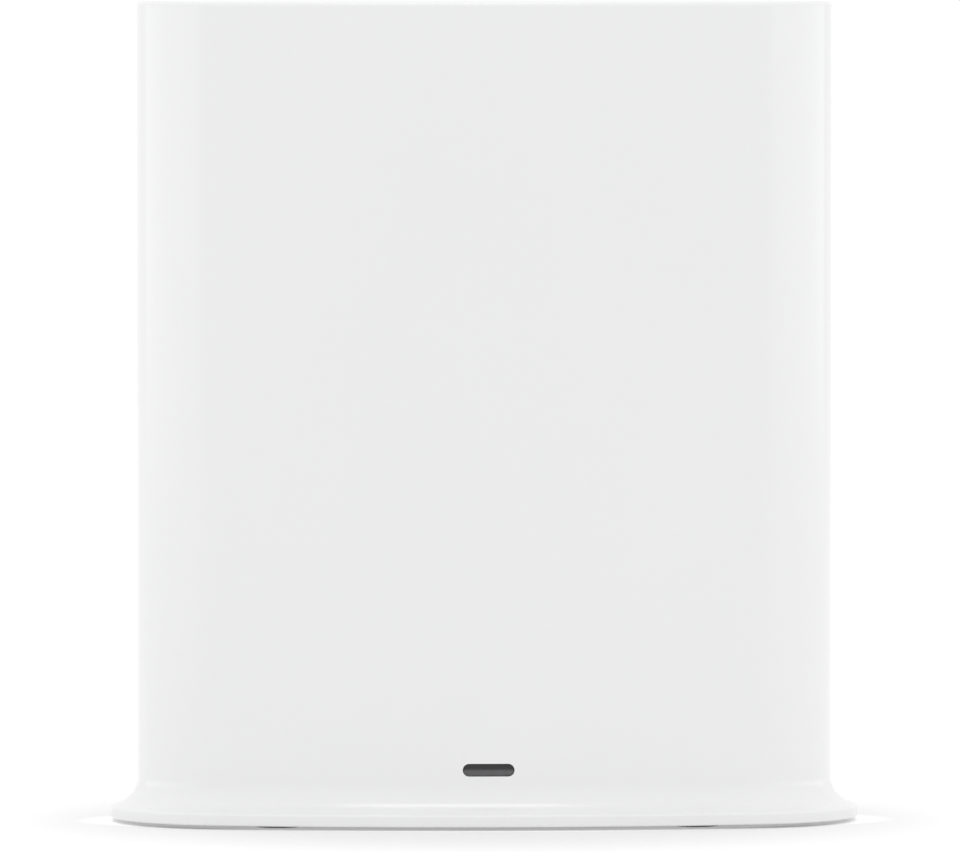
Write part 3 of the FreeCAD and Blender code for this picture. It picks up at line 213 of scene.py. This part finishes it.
class Finish:
    """A material under construction, with a Principled surface already in it."""

    def __init__(self, name, **surface):
        self.material = bpy.data.materials.new(name)
        self.material.use_nodes = True
        self.tree = self.material.node_tree
        self.surface = self.tree.nodes["Principled BSDF"]
        self.set(**surface)

    def node(self, kind, settings=None, inputs=None, output=0):
        """Adds a node: its settings first, then the values or links of its sockets."""
        made = self.tree.nodes.new(kind)
        for name, value in (settings or {}).items():
            setattr(made, name, value)
        for name, value in (inputs or {}).items():
            self.feed(made.inputs[name], value)
        return Shade(self, made.outputs[output])

    def feed(self, socket, value):
        if isinstance(value, Shade):
            self.tree.links.new(value.socket, socket)
        else:
            socket.default_value = value

    def set(self, **surface):
        """Sets sockets of the surface; base_color stands for Base Color, and so on."""
        for name, value in surface.items():
            self.feed(self.surface.inputs[name.replace("_", " ").title().replace("Ior", "IOR")], value)

    def smooth_step(self, value, start, end, first, last):
        """A number that goes softly from first to last while the value goes from start to end."""
        return self.node(
            "ShaderNodeMapRange",
            {"interpolation_type": "SMOOTHSTEP"},
            {"Value": value, "From Min": start, "From Max": end, "To Min": first, "To Max": last},
        )

    def place(self, scale=1.0, stretch=(1, 1, 1)):
        """The piece's own coordinates, multiplied by scale and stretch."""
        here = self.node("ShaderNodeTexCoord", output="Object")
        size = tuple(scale * part for part in stretch)
        return self.node("ShaderNodeMapping", {}, {"Vector": here, "Scale": size})

    def noise(self, size, detail=2.0, stretch=(1, 1, 1)):
        """Soft noise about 0.5, whose features are size metres apart."""
        return self.node(
            "ShaderNodeTexNoise",
            {},
            {"Vector": self.place(1 / size, stretch), "Scale": 1.0, "Detail": detail},
        )

    def tint(self, dark, light, amount):
        """A colour between dark and light, which are sockets 6 and 7 of a Mix node for colours."""
        return self.node(
            "ShaderNodeMix",
            {"data_type": "RGBA"},
            {"Factor": amount, 6: (*dark, 1), 7: (*light, 1)},
            output=2,
        )

    def bump(self, height, depth):
        return self.node("ShaderNodeBump", {}, {"Height": height, "Distance": depth})


def polished_white():
    """Gloss white ABS: a faint ripple from the mould, and hardly any change of shade."""
    finish = Finish("gloss white ABS", ior=1.5)
    flow = finish.noise(38 * mm, detail=3, stretch=(1, 1, 0.45))
    ripple = finish.noise(2.6 * mm, detail=2)
    finish.set(
        base_color=finish.tint((0.835, 0.837, 0.84), (0.855, 0.856, 0.856), flow),
        roughness=0.13 + 0.05 * finish.noise(9 * mm, detail=4),
        normal=finish.bump(ripple, 0.0035 * mm),
    )
    return finish.material


corner_weld = 0.005 * mm
cut_weld = 0.0005 * mm


def upright_sheet(bm, centre, width, height, corner, steps=6):
    """A flat face with round corners that stands upright; its normal is towards the front."""
    known = set(bm.faces)
    size = Matrix.Diagonal((width, height, 1, 1))
    place = Matrix.Translation(centre) @ Matrix.Rotation(math.radians(90), 4, "X") @ size
    corners = bmesh.ops.create_grid(bm, x_segments=1, y_segments=1, size=0.5, matrix=place)["verts"]
    bmesh.ops.bevel(
        bm,
        geom=corners,
        offset=corner,
        offset_type="OFFSET",
        affect="VERTICES",
        segments=steps,
        profile=0.5,
        material=-1,
    )
    sheet = next(face for face in bm.faces if face not in known)
    bmesh.ops.remove_doubles(bm, verts=sheet.verts[:], dist=corner_weld)
    return next(face for face in bm.faces if face not in known)


def step_face(bm, face, inset, rise):
    """Draws a face in by inset and moves it along its normal by rise, with new walls round it."""
    bmesh.ops.inset_region(
        bm, faces=[face], thickness=inset, depth=rise, use_even_offset=True, use_boundary=True
    )


def round_step(bm, face, radius, inwards_first):
    """Draws a face in and on by radius, round a corner of two facets.

    The first facet goes mostly inwards, or else mostly along the face's normal.
    """
    little = 0.3 * radius
    most = 0.7 * radius
    facets = [(little, most), (most, little)]
    if inwards_first:
        facets.reverse()
    for inset, rise in facets:
        step_face(bm, face, inset, rise)


def slab_between(bm, centre, width, height, corner, depth, steps=6):
    """A closed slab; returns its front face and its back face, which lies depth further back."""
    front = upright_sheet(bm, centre, width, height, corner, steps)
    made = bmesh.ops.extrude_face_region(bm, geom=[front], use_keep_orig=True)["geom"]
    back = next(part for part in made if isinstance(part, bmesh.types.BMFace))
    bmesh.ops.translate(bm, vec=(0, depth, 0), verts=back.verts[:])
    bmesh.ops.recalc_face_normals(bm, faces=bm.faces[:])
    return front, back


def combined(solid, tool, operation="DIFFERENCE"):
    """Cuts the tool's shape out of the solid, or adds it with UNION, and returns the result."""
    parts = []
    for shape in (solid, tool):
        bmesh.ops.recalc_face_normals(shape, faces=shape.faces[:])
        mesh = bpy.data.meshes.new("cutting")
        shape.to_mesh(mesh)
        shape.free()
        part = bpy.data.objects.new("cutting", mesh)
        bpy.context.scene.collection.objects.link(part)
        parts.append(part)
    cut = parts[0].modifiers.new("cut", "BOOLEAN")
    cut.operation = operation
    cut.solver = "EXACT"
    cut.object = parts[1]
    result = bmesh.new()
    result.from_object(parts[0], bpy.context.evaluated_depsgraph_get())
    for part in parts:
        bpy.data.objects.remove(part)
    bmesh.ops.remove_doubles(result, verts=result.verts[:], dist=cut_weld)
    return result


def back_surface(x, inset):
    """How far back the oval reaches at x, moved inwards by inset."""
    return math.sqrt((side_radius - inset) ** 2 - x**2) - side_centre_y


def bend_to_back(bm, deepest, strip=5 * mm):
    """Bends what was made flat to the curve of the back; what lies deeper than deepest stays flat."""
    middle = back_surface(0, flare_reach)
    reach = max(abs(vert.co.x) for vert in bm.verts)
    x = strip / 2
    while x < reach:
        for side in (-x, x):
            bmesh.ops.bisect_plane(
                bm, geom=bm.verts[:] + bm.edges[:] + bm.faces[:], plane_co=(side, 0, 0), plane_no=(1, 0, 0)
            )
        x += strip
    for vert in bm.verts:
        if vert.co.y > middle - deepest:
            vert.co.y += back_surface(vert.co.x, flare_reach) - middle


window_half_width = 44.0 * mm
window_low = 9.2 * mm
window_high = top_level - 9.0 * mm
window_corner = 6.0 * mm
window_middle = Vector((0, 0, (window_low + window_high) / 2))
ledge_width = 2.0 * mm
rebate_depth = 1.3 * mm
mouth_round = 0.25 * mm
hair = 0.013 * mm
outside_room = 2 * mm
lens_level = 10.7 * mm
lens_slot_width = 9.4 * mm
lens_slot_height = 2.3 * mm


def add_hole(bm, mouth_centre, width, height, corner, mouth, depth, steps=6):
    """A cutter for a hole that goes depth into the back, with a rounded mouth; returns its inner face.

    The mouth starts a hair outside the surface, so that no face of the cutter lies in the surface.
    """
    start = mouth_centre + Vector((0, hair, 0))
    wide = width + 2 * mouth
    high = height + 2 * mouth
    inner = slab_between(bm, start, wide, high, corner + mouth, outside_room, steps)[0]
    round_step(bm, inner, mouth, inwards_first=True)
    step_face(bm, inner, 0, depth - mouth)
    return inner


def window_cutter():
    """The room of the back panel: a rounded mouth, the rebate, and the opening inside the ledge."""
    bm = bmesh.new()
    mouth_centre = window_middle + Vector((0, back_surface(0, flare_reach), 0))
    width = 2 * window_half_width
    height = window_high - window_low
    face = add_hole(bm, mouth_centre, width, height, window_corner, mouth_round, rebate_depth, steps=10)
    step_face(bm, face, ledge_width, 0)
    step_face(bm, face, 0, 2 * shell_wall)
    bend_to_back(bm, 2 * rebate_depth, 3.5 * mm)
    return bm


def lens_cutter():
    """A stadium that goes through the front wall, from above the foot's edge to well inside."""
    bm = bmesh.new()
    outside = Vector((0, shell_low.y, lens_level))
    through = -shell_low.y - flare_reach
    corner = lens_slot_height / 2
    slab_between(bm, outside, lens_slot_width, lens_slot_height, corner, through, steps=10)
    return bm


housing_white = polished_white()
shell_mesh = bmesh.new()
shell_section(shell_mesh)
spin_round_oval(shell_mesh, shell_mesh.verts[:] + shell_mesh.edges[:])
bmesh.ops.holes_fill(shell_mesh, edges=shell_mesh.edges[:], sides=0)
shell_mesh = combined(shell_mesh, window_cutter())
shell_mesh = combined(shell_mesh, lens_cutter())
housing = finished_piece("housing", shell_mesh, housing_white, replaced=["outer_shell"])
even_shading(housing)

# Back panel. A textured white ABS moulding that snaps into the rebate of the shell, curved like the
# shell's back. It has a deep bay with the sockets in its floor, three rows of vent slots with softened
# edges, the hole of the pairing button and the reset hole.

panel_gap = 0.2 * mm
panel_step = 0.2 * mm
bay_width = 79.0 * mm
bay_low = 12.8 * mm
bay_height = 16.5 * mm
bay_depth = 7.6 * mm
bay_corner = 2.0 * mm
bay_wall = 1.4 * mm
bay_wall_end = 1 * mm
bay_floor_wall = 1.6 * mm
bay_mouth = 0.45 * mm
vent_width = 2.0 * mm
vent_pitch = 5.0 * mm
vent_columns = 13
vent_rows = 3
vent_gap = 4.0 * mm
vent_low = 62.0 * mm
vent_high = 126.0 * mm
key_level = 44.0 * mm
key_hole_radius = 4.65 * mm
reset_hole_radius = 0.8 * mm
socket_gap = 0.2 * mm
back_middle = back_surface(0, flare_reach)


def panel_blank():
    """The flat blank of the panel: a thin border that lies on the ledge, and a thicker middle."""
    bm = bmesh.new()
    width = 2 * (window_half_width - panel_gap)
    height = window_high - window_low - 2 * panel_gap
    start = window_middle + Vector((0, back_middle - rebate_depth, 0))
    thin = rebate_depth - panel_step
    inside, outside = slab_between(bm, start, width, height, window_corner - panel_gap, thin, steps=10)
    step_face(bm, inside, ledge_width, 0)
    step_face(bm, inside, 0, shell_wall - rebate_depth)
    round_step(bm, outside, panel_step, inwards_first=False)
    return bm


def bay_walls():
    """The block that holds the port bay; it ends inside the panel, short of the curved surface."""
    bm = bmesh.new()
    depth = bay_depth + bay_floor_wall
    start = Vector((0, back_middle - depth, bay_low + bay_height / 2))
    width = bay_width + 2 * bay_wall
    height = bay_height + 2 * bay_wall
    slab_between(bm, start, width, height, bay_corner + bay_wall, depth - bay_wall_end)
    return bm


def bay_cutter():
    """The room of the port bay, down to its floor."""
    bm = bmesh.new()
    mouth_centre = Vector((0, back_middle, bay_low + bay_height / 2))
    add_hole(bm, mouth_centre, bay_width, bay_height, bay_corner, bay_mouth, bay_depth)
    return bm


def turned_piece(bm, axis_point, corners, steps=48):
    """Turns a profile of (radius, y) corners about an axis along Y; both ends lie on the axis."""
    radius, y = corners[0]
    profile = [bm.verts.new((axis_point.x + radius, y, axis_point.z))]
    for radius, y in corners[1:]:
        drawn = bmesh.ops.extrude_vert_indiv(bm, verts=profile[-1:])
        profile.append(drawn["verts"][0])
        profile[-1].co = (axis_point.x + radius, y, axis_point.z)
    edges = [edge for edge in bm.edges if edge.is_wire]
    bmesh.ops.spin(
        bm,
        geom=profile + edges,
        cent=axis_point,
        axis=(0, 1, 0),
        angle=math.tau,
        steps=steps,
        use_merge=True,
    )
    bmesh.ops.remove_doubles(bm, verts=bm.verts[:], dist=spin_weld)


def round_hole(bm, mouth_centre, radius, mouth, depth):
    """A cutter for a round hole with a rounded mouth."""
    start = mouth_centre.y + hair
    little = 0.3 * mouth
    turned_piece(
        bm,
        mouth_centre,
        [
            (0, start + outside_room),
            (radius + mouth, start + outside_room),
            (radius + mouth, start),
            (radius + little, start - little),
            (radius, start - mouth),
            (radius, start - depth),
            (0, start - depth),
        ],
    )


def hole_cutters():
    """The vents, the button's hole, the reset hole, and the openings round the sockets."""
    bm = bmesh.new()
    vent_height = (vent_high - vent_low - (vent_rows - 1) * vent_gap) / vent_rows
    for row in range(vent_rows):
        for column in range(vent_columns):
            x = (column - (vent_columns - 1) / 2) * vent_pitch
            z = vent_low + vent_height / 2 + row * (vent_height + vent_gap)
            middle = Vector((x, back_middle, z))
            add_hole(bm, middle, vent_width, vent_height, vent_width / 2, mouth_round, 2 * shell_wall)
    round_hole(bm, Vector((0, back_middle, key_level)), key_hole_radius, mouth_round, 2 * shell_wall)
    floor_y = back_middle - bay_depth
    stem_low, stem_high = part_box("reset_stem")
    reset = (stem_low + stem_high) / 2
    reset.y = floor_y
    round_hole(bm, reset, reset_hole_radius, mouth_round, 2 * bay_floor_wall)
    for socket in ("power_jack", "lan_jack", "usb_shell", "card_cover"):
        low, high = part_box(socket)
        middle = (low + high) / 2
        middle.y = floor_y - 2 * bay_floor_wall
        width = high.x - low.x + socket_gap
        height = high.z - low.z + socket_gap
        slab_between(bm, middle, width, height, socket_gap, 3 * bay_floor_wall, steps=2)
    return bm


def moulded_plastic(name, dark, light, roughness, grain, depth):
    """Moulded plastic with a grain of the given size and depth."""
    finish = Finish(name)
    finish.set(
        base_color=finish.tint(dark, light, finish.noise(12 * mm, detail=3)),
        roughness=roughness + 0.12 * finish.noise(3 * mm, detail=3),
        normal=finish.bump(finish.noise(grain, detail=3), depth),
    )
    return finish.material


panel_white = moulded_plastic(
    "textured white ABS", (0.79, 0.79, 0.79), (0.82, 0.82, 0.82), 0.42, 0.28 * mm, 0.02 * mm
)
panel_mesh = combined(panel_blank(), bay_walls(), "UNION")
panel_mesh = combined(panel_mesh, bay_cutter())
panel_mesh = combined(panel_mesh, hole_cutters())
bend_to_back(panel_mesh, 3 * mm)
panel = finished_piece("back_panel", panel_mesh, panel_white, replaced=["rear_panel"])
even_shading(panel)

# Pairing button. A round key of satin white plastic, turned in one: a shallow dish for a fingertip, a
# rounded edge, a flange that holds it inside the panel, and a stalk that meets the switch.

key_low, key_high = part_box("sync_button")
key_radius = 4.5 * mm
key_edge = 0.5 * mm
key_dish = 0.25 * mm
key_dish_radius = 3.5 * mm
key_flange_radius = key_high.x
key_flange_thickness = 1.2 * mm
key_stalk_radius = 2.0 * mm
key_flange_gap = 0.2 * mm
key_flange_back = back_surface(0, flare_reach + shell_wall) - key_flange_gap

dish_shares = (0, 0.5, 0.8, 1)
edge_shares = ((1, 0), (0.5, 0.13), (0.13, 0.5), (0, 1))
dish = [(share * key_dish_radius, key_high.y - (1 - share**2) * key_dish) for share in dish_shares]
rounding = [(key_radius - across * key_edge, key_high.y - down * key_edge) for across, down in edge_shares]
flange_and_stalk = [
    (key_radius, key_flange_back),
    (key_flange_radius, key_flange_back),
    (key_flange_radius, key_flange_back - key_flange_thickness),
    (key_stalk_radius, key_flange_back - key_flange_thickness),
    (key_stalk_radius, key_low.y),
    (0, key_low.y),
]
key_mesh = bmesh.new()
turned_piece(key_mesh, Vector((0, 0, key_level)), dish + rounding + flange_and_stalk)
button_white = moulded_plastic(
    "satin white key", (0.8, 0.8, 0.8), (0.83, 0.83, 0.83), 0.3, 0.4 * mm, 0.006 * mm
)
finished_piece("pairing_key", key_mesh, button_white, "sync_key", ["sync_button"], 40)

# Status light. A smoked light pipe: the lens in the front wall, a flange that stops it behind the
# wall, and a tail that tapers to the lamp. The lens carries painted shade: it is greyer below and
# nearly black along its top.

lens_low, lens_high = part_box("light_pipe")
lens_gap = 0.1 * mm
lens_round = 0.12 * mm
flange_reach = 1.2 * mm
flange_gap = 0.2 * mm
flange_front = -back_surface(0, flare_reach + shell_wall) + flange_gap
flange_thickness = 0.9 * mm
tail_narrowing = 2.2 / 4.7
tail_flattening = 0.85 / 1.15
shade_fade = 0.35 * mm


def lens_shape():
    """A stadium flange with the lens drawn out of its front and the tail out of its back."""
    bm = bmesh.new()
    start = Vector((0, flange_front, lens_level))
    width = lens_slot_width + 2 * flange_reach
    height = lens_slot_height + 2 * flange_reach
    lens, tail = slab_between(bm, start, width, height, height / 2, flange_thickness, steps=10)
    step_face(bm, lens, flange_reach + lens_gap, 0)
    step_face(bm, lens, 0, flange_front - lens_low.y - lens_round)
    round_step(bm, lens, lens_round, inwards_first=False)
    step_face(bm, tail, flange_reach, 0)
    step_face(bm, tail, 0, lens_high.y - flange_front - flange_thickness)
    bmesh.ops.scale(
        bm,
        vec=(tail_narrowing, 1, tail_flattening),
        space=Matrix.Translation((0, 0, -lens_level)),
        verts=tail.verts[:],
    )
    return bm


def smoked_plastic():
    """Dark see-through plastic over a diffuser, with painted shade: greyer below and nearly black along the
    top.
    """
    finish = Finish("smoked lens", roughness=0.06, ior=1.5)
    level = finish.node("ShaderNodeSeparateXYZ", {}, {0: finish.place()}, output="Z")
    # Painted shade: the lens goes from grey below to nearly black along its top, as under the slot's upper
    # edge; the noise adds a random mottle.
    painted_shade_fall = finish.smooth_step(level, lens_level - shade_fade, lens_level + shade_fade, 1.0, 0.0)
    painted_shade_and_mottle = painted_shade_fall * (0.8 + 0.3 * finish.noise(1.5 * mm, detail=2))
    finish.set(base_color=finish.tint((0.012, 0.012, 0.014), (0.1, 0.1, 0.103), painted_shade_and_mottle))
    return finish.material


finished_piece("lens", lens_shape(), smoked_plastic(), replaced=["light_pipe"])

# Inner pieces. Each keeps its own mesh from the frame and gets the finish of its real material: zinc
# plated steel, nickel, gold, moulded black plastic, green boards and so on.


def bare_metal(name, dark, light, roughness, stretch):
    """Plain or plated metal, with fine streaks along the axis that has the smallest stretch."""
    finish = Finish(name, metallic=1.0)
    streaks = finish.noise(0.5 * mm, detail=4, stretch=stretch)
    finish.set(
        base_color=finish.tint(dark, light, finish.noise(5 * mm, detail=3)),
        roughness=roughness + 0.15 * streaks,
        normal=finish.bump(streaks, 0.002 * mm),
    )
    return finish.material


def board_finish():
    """Green solder mask over copper: paler lines where tracks run, and a little gloss."""
    finish = Finish("green board", specular_ior_level=0.5)
    tracks = finish.node(
        "ShaderNodeTexVoronoi",
        {"distance": "MANHATTAN", "feature": "DISTANCE_TO_EDGE"},
        {"Vector": finish.place(1 / (3.2 * mm)), "Scale": 1.0},
    )
    line = finish.node(
        "ShaderNodeMapRange",
        {},
        {"Value": tracks, "From Min": 0.05, "From Max": 0.09, "To Min": 1.0, "To Max": 0.0},
    )
    finish.set(
        base_color=finish.tint((0.008, 0.07, 0.028), (0.03, 0.17, 0.06), line),
        roughness=0.28 + 0.1 * finish.noise(4 * mm, detail=3),
        normal=finish.bump(line, 0.02 * mm),
    )
    return finish.material


# Each row of plastics gives a name, a dark and a light colour, the roughness, and the size and the depth
# of the grain in millimetres. Each row of metals ends with the stretch of its streaks.
plastics = {
    "cover_grey": ("textured grey ABS", (0.58, 0.58, 0.59), (0.63, 0.63, 0.64), 0.5, 0.3, 0.03),
    "foot_rubber": ("foot rubber", (0.50, 0.50, 0.50), (0.56, 0.56, 0.56), 0.7, 0.2, 0.02),
    "black_plastic": ("black plastic", (0.012, 0.012, 0.013), (0.025, 0.025, 0.026), 0.4, 0.25, 0.01),
    "lamp": ("lamp epoxy", (0.8, 0.78, 0.62), (0.86, 0.84, 0.7), 0.2, 1.0, 0.002),
    "chip_black": ("chip epoxy", (0.014, 0.014, 0.015), (0.024, 0.024, 0.026), 0.5, 0.15, 0.01),
    "pad_grey": ("silicone pad", (0.38, 0.43, 0.5), (0.44, 0.49, 0.56), 0.7, 0.4, 0.02),
    "carrier_plastic": ("natural plastic", (0.62, 0.61, 0.56), (0.68, 0.67, 0.62), 0.45, 0.4, 0.01),
    "lead_grey": ("lead sheath", (0.16, 0.16, 0.17), (0.22, 0.22, 0.23), 0.35, 0.3, 0.005),
    "ribbon_white": ("ribbon film", (0.7, 0.7, 0.64), (0.76, 0.76, 0.7), 0.3, 0.5, 0.01),
    "ferrite": ("ferrite", (0.05, 0.05, 0.052), (0.08, 0.08, 0.082), 0.6, 0.2, 0.02),
    "light_green": ("green light", (0.16, 0.5, 0.16), (0.24, 0.62, 0.22), 0.15, 0.8, 0.002),
}
metals = {
    "screw_steel": ("zinc plated steel", (0.5, 0.51, 0.53), (0.66, 0.67, 0.68), 0.25, (1, 1, 1)),
    "port_metal": ("nickel plate", (0.55, 0.53, 0.5), (0.66, 0.64, 0.6), 0.22, (0.2, 0.02, 0.2)),
    "gold": ("gold flash", (0.75, 0.52, 0.2), (0.9, 0.68, 0.32), 0.2, (0.3, 0.05, 0.3)),
    "heat_sink_metal": ("extruded aluminium", (0.6, 0.61, 0.62), (0.72, 0.73, 0.74), 0.3, (0.2, 0.2, 0.01)),
    "antenna_copper": ("antenna copper", (0.7, 0.36, 0.2), (0.84, 0.48, 0.3), 0.3, (0.2, 0.2, 0.02)),
    "can_aluminium": ("drawn can", (0.68, 0.69, 0.7), (0.8, 0.8, 0.82), 0.18, (0.3, 0.3, 0.02)),
}
finishes = {"board_green": board_finish()}
for slot, (name, dark, light, roughness, grain, depth) in plastics.items():
    finishes[slot] = moulded_plastic(name, dark, light, roughness, grain * mm, depth * mm)
for slot, row in metals.items():
    finishes[slot] = bare_metal(*row)
slot_of = {row["node"]: row["material_slot"] for row in frame["record"]["subparts"]}
for node, carried in frame["nodes"].items():
    if slot_of[node] in finishes:
        carried.data.materials.clear()
        carried.data.materials.append(finishes[slot_of[node]])

# Sockets, bottom cover, feet and cover screws. Each keeps the form of its CAD node, and its edges are
# broken as those of real mouldings and pressings are. The network socket is black inside its shield.

shield_wall = 0.5 * mm
node_weld = 0.001 * mm
edge_widths = {
    "power_jack": 0.3 * mm,
    "lan_jack": 0.2 * mm,
    "lan_lights": 0.2 * mm,
    "usb_shell": 0.08 * mm,
    "usb_tongue": 0.12 * mm,
    "card_cover": 0.06 * mm,
    "card_socket": 0.08 * mm,
    "bottom_cover": 0.25 * mm,
    "rubber_feet": 0.3 * mm,
    "cover_screws": 0.12 * mm,
}
body_of = {node: body for body, nodes in frame["record"]["behaviour"]["bodies"].items() for node in nodes}


def softened(node, width):
    """The mesh of a CAD node, with its flat faces made whole and its sharp edges broken."""
    bm = bmesh.new()
    bm.from_mesh(frame["nodes"][node].data)
    bmesh.ops.remove_doubles(bm, verts=bm.verts[:], dist=node_weld)
    bmesh.ops.dissolve_limit(bm, angle_limit=math.radians(0.5), verts=bm.verts[:], edges=bm.edges[:])
    sharp = [edge for edge in bm.edges if edge.calc_face_angle(0) > math.radians(30)]
    bmesh.ops.bevel(
        bm,
        geom=sharp,
        offset=width,
        offset_type="OFFSET",
        affect="EDGES",
        segments=2,
        profile=0.5,
        material=-1,
        clamp_overlap=True,
    )
    return bm


def line_with(jack, shield_box, lining):
    """Gives the inside of the network socket's mouth a second material, the plastic of its insert."""
    low, high = shield_box
    jack.data.materials.append(lining)
    for face in jack.data.polygons:
        middle = face.center
        away = min(middle.x - low.x, high.x - middle.x, middle.z - low.z, high.z - middle.z)
        if away > shield_wall and low.y + shield_wall < middle.y < high.y - mouth_round:
            face.material_index = 1


for node, width in edge_widths.items():
    slot = slot_of[node]
    shape = softened(node, width)
    eased = finished_piece(node + "_eased", shape, finishes[slot], body_of[node], [node])
    if node == "lan_jack":
        line_with(eased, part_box(node), finishes["black_plastic"])

# Studio. A large sheet of white paper runs under the hub and to the horizon in soft even light. To the
# camera and in the hub's gloss it glows a little with painted light: more away from the hub, and under
# its rim, where the glow lightens the hub's contact shadow. The camera is far off, a little above the hub
# and a little to its left.

paper_size = 20
paper_level = -0.05 * mm
shadow_start = 45 * mm
shadow_end = 110 * mm
rim_shadow_start = foot_half_depth - 1.5 * mm
rim_shadow_end = foot_half_depth + 3.5 * mm

floor_mesh = bmesh.new()
floor_place = Matrix.Translation((0, 0, paper_level))
bmesh.ops.create_grid(floor_mesh, x_segments=1, y_segments=1, size=paper_size, matrix=floor_place)
floor_data = bpy.data.meshes.new("floor")
floor_mesh.to_mesh(floor_data)
floor_mesh.free()
floor = bpy.data.objects.new("floor", floor_data)
bpy.context.scene.collection.objects.link(floor)


def seen_directly(finish):
    """One where the camera looks at the surface, also in a mirror or through something clear."""
    kinds = ("Is Camera Ray", "Is Glossy Ray", "Is Transmission Ray")
    direct, mirrored, through = (finish.node("ShaderNodeLightPath", output=kind) for kind in kinds)
    return direct + mirrored + through


def from_middle(finish, stretch=(1, 1, 1)):
    """The distance from the hub's middle, measured after a stretch."""
    here = finish.place(1, stretch)
    return finish.node("ShaderNodeVectorMath", {"operation": "LENGTH"}, {0: here}, output=1)


def white_paper():
    """Matt white paper with painted light: a glow to the camera that grows away from the hub keeps the
    shadow in front of the hub, and a glow under the rim lightens the contact shadow.
    """
    finish = Finish("white paper", roughness=0.9, specular_ior_level=0.0, base_color=(0.85, 0.85, 0.85, 1))
    oval = (foot_half_depth / foot_half_width, 1, 0)
    # Painted light: the paper glows more away from the hub, where the hub's shadow fades out, and glows
    # under the rim, which lightens the contact shadow there.
    painted_light_far_off = finish.smooth_step(from_middle(finish), shadow_start, shadow_end, 0.02, 0.17)
    painted_light_under_rim = finish.smooth_step(from_middle(finish, oval), rim_shadow_start, rim_shadow_end, 0.36, 0.0)
    finish.set(emission_color=(painted_light_far_off + painted_light_under_rim) * seen_directly(finish), emission_strength=1.0)
    return finish.material


floor_data.materials.append(white_paper())


class Surroundings(Finish):
    """The nodes of the world, made in the same way as those of a material."""

    def __init__(self, name):
        self.world = bpy.data.worlds.new(name)
        self.world.use_nodes = True
        self.tree = self.world.node_tree
        self.surface = self.tree.nodes["Background"]


light_level = 1.015
room = Surroundings("soft studio")
room.set(color=(1, 1, 1, 1), strength=light_level - (light_level - 1) * seen_directly(room))
bpy.context.scene.world = room.world


def soft_lamp(name, place, turn, across, along, power):
    """A flat soft lamp that shines down before it is turned about the Y axis."""
    data = bpy.data.lights.new(name, "AREA")
    data.shape = "RECTANGLE"
    data.size = across
    data.size_y = along
    data.energy = power
    made = bpy.data.objects.new(name, data)
    made.location = place
    made.rotation_euler.y = math.radians(turn)
    bpy.context.scene.collection.objects.link(made)


soft_lamp("strip_right", (1.5, 0, 0.18), 90, 0.34, 2.6, 1.6)
soft_lamp("strip_left", (-1.5, 0, 0.18), -90, 0.34, 2.6, 1.6)
soft_lamp("lamp_above", (0, -0.1, 1.7), 0, 0.42, 0.42, 1.5)

view_turn = math.radians(-1.8)
view_distance = 2.45
view_height = 0.176
view_lens = 502.1
aim = Vector((-0.0008, 0, 0.0722))
eye = bpy.data.objects.new("eye", bpy.data.cameras.new("eye"))
bpy.context.scene.collection.objects.link(eye)
bpy.context.scene.camera = eye
eye.location = aim + Vector((math.sin(view_turn), -math.cos(view_turn), 0)) * view_distance
eye.location.z = view_height
eye.rotation_mode = "QUATERNION"
eye.rotation_quaternion = (aim - eye.location).to_track_quat("-Z", "Y")
eye.data.lens = view_lens
eye.data.clip_start = 0.1
eye.data.clip_end = 60
bpy.context.scene.view_settings.view_transform = "Standard"
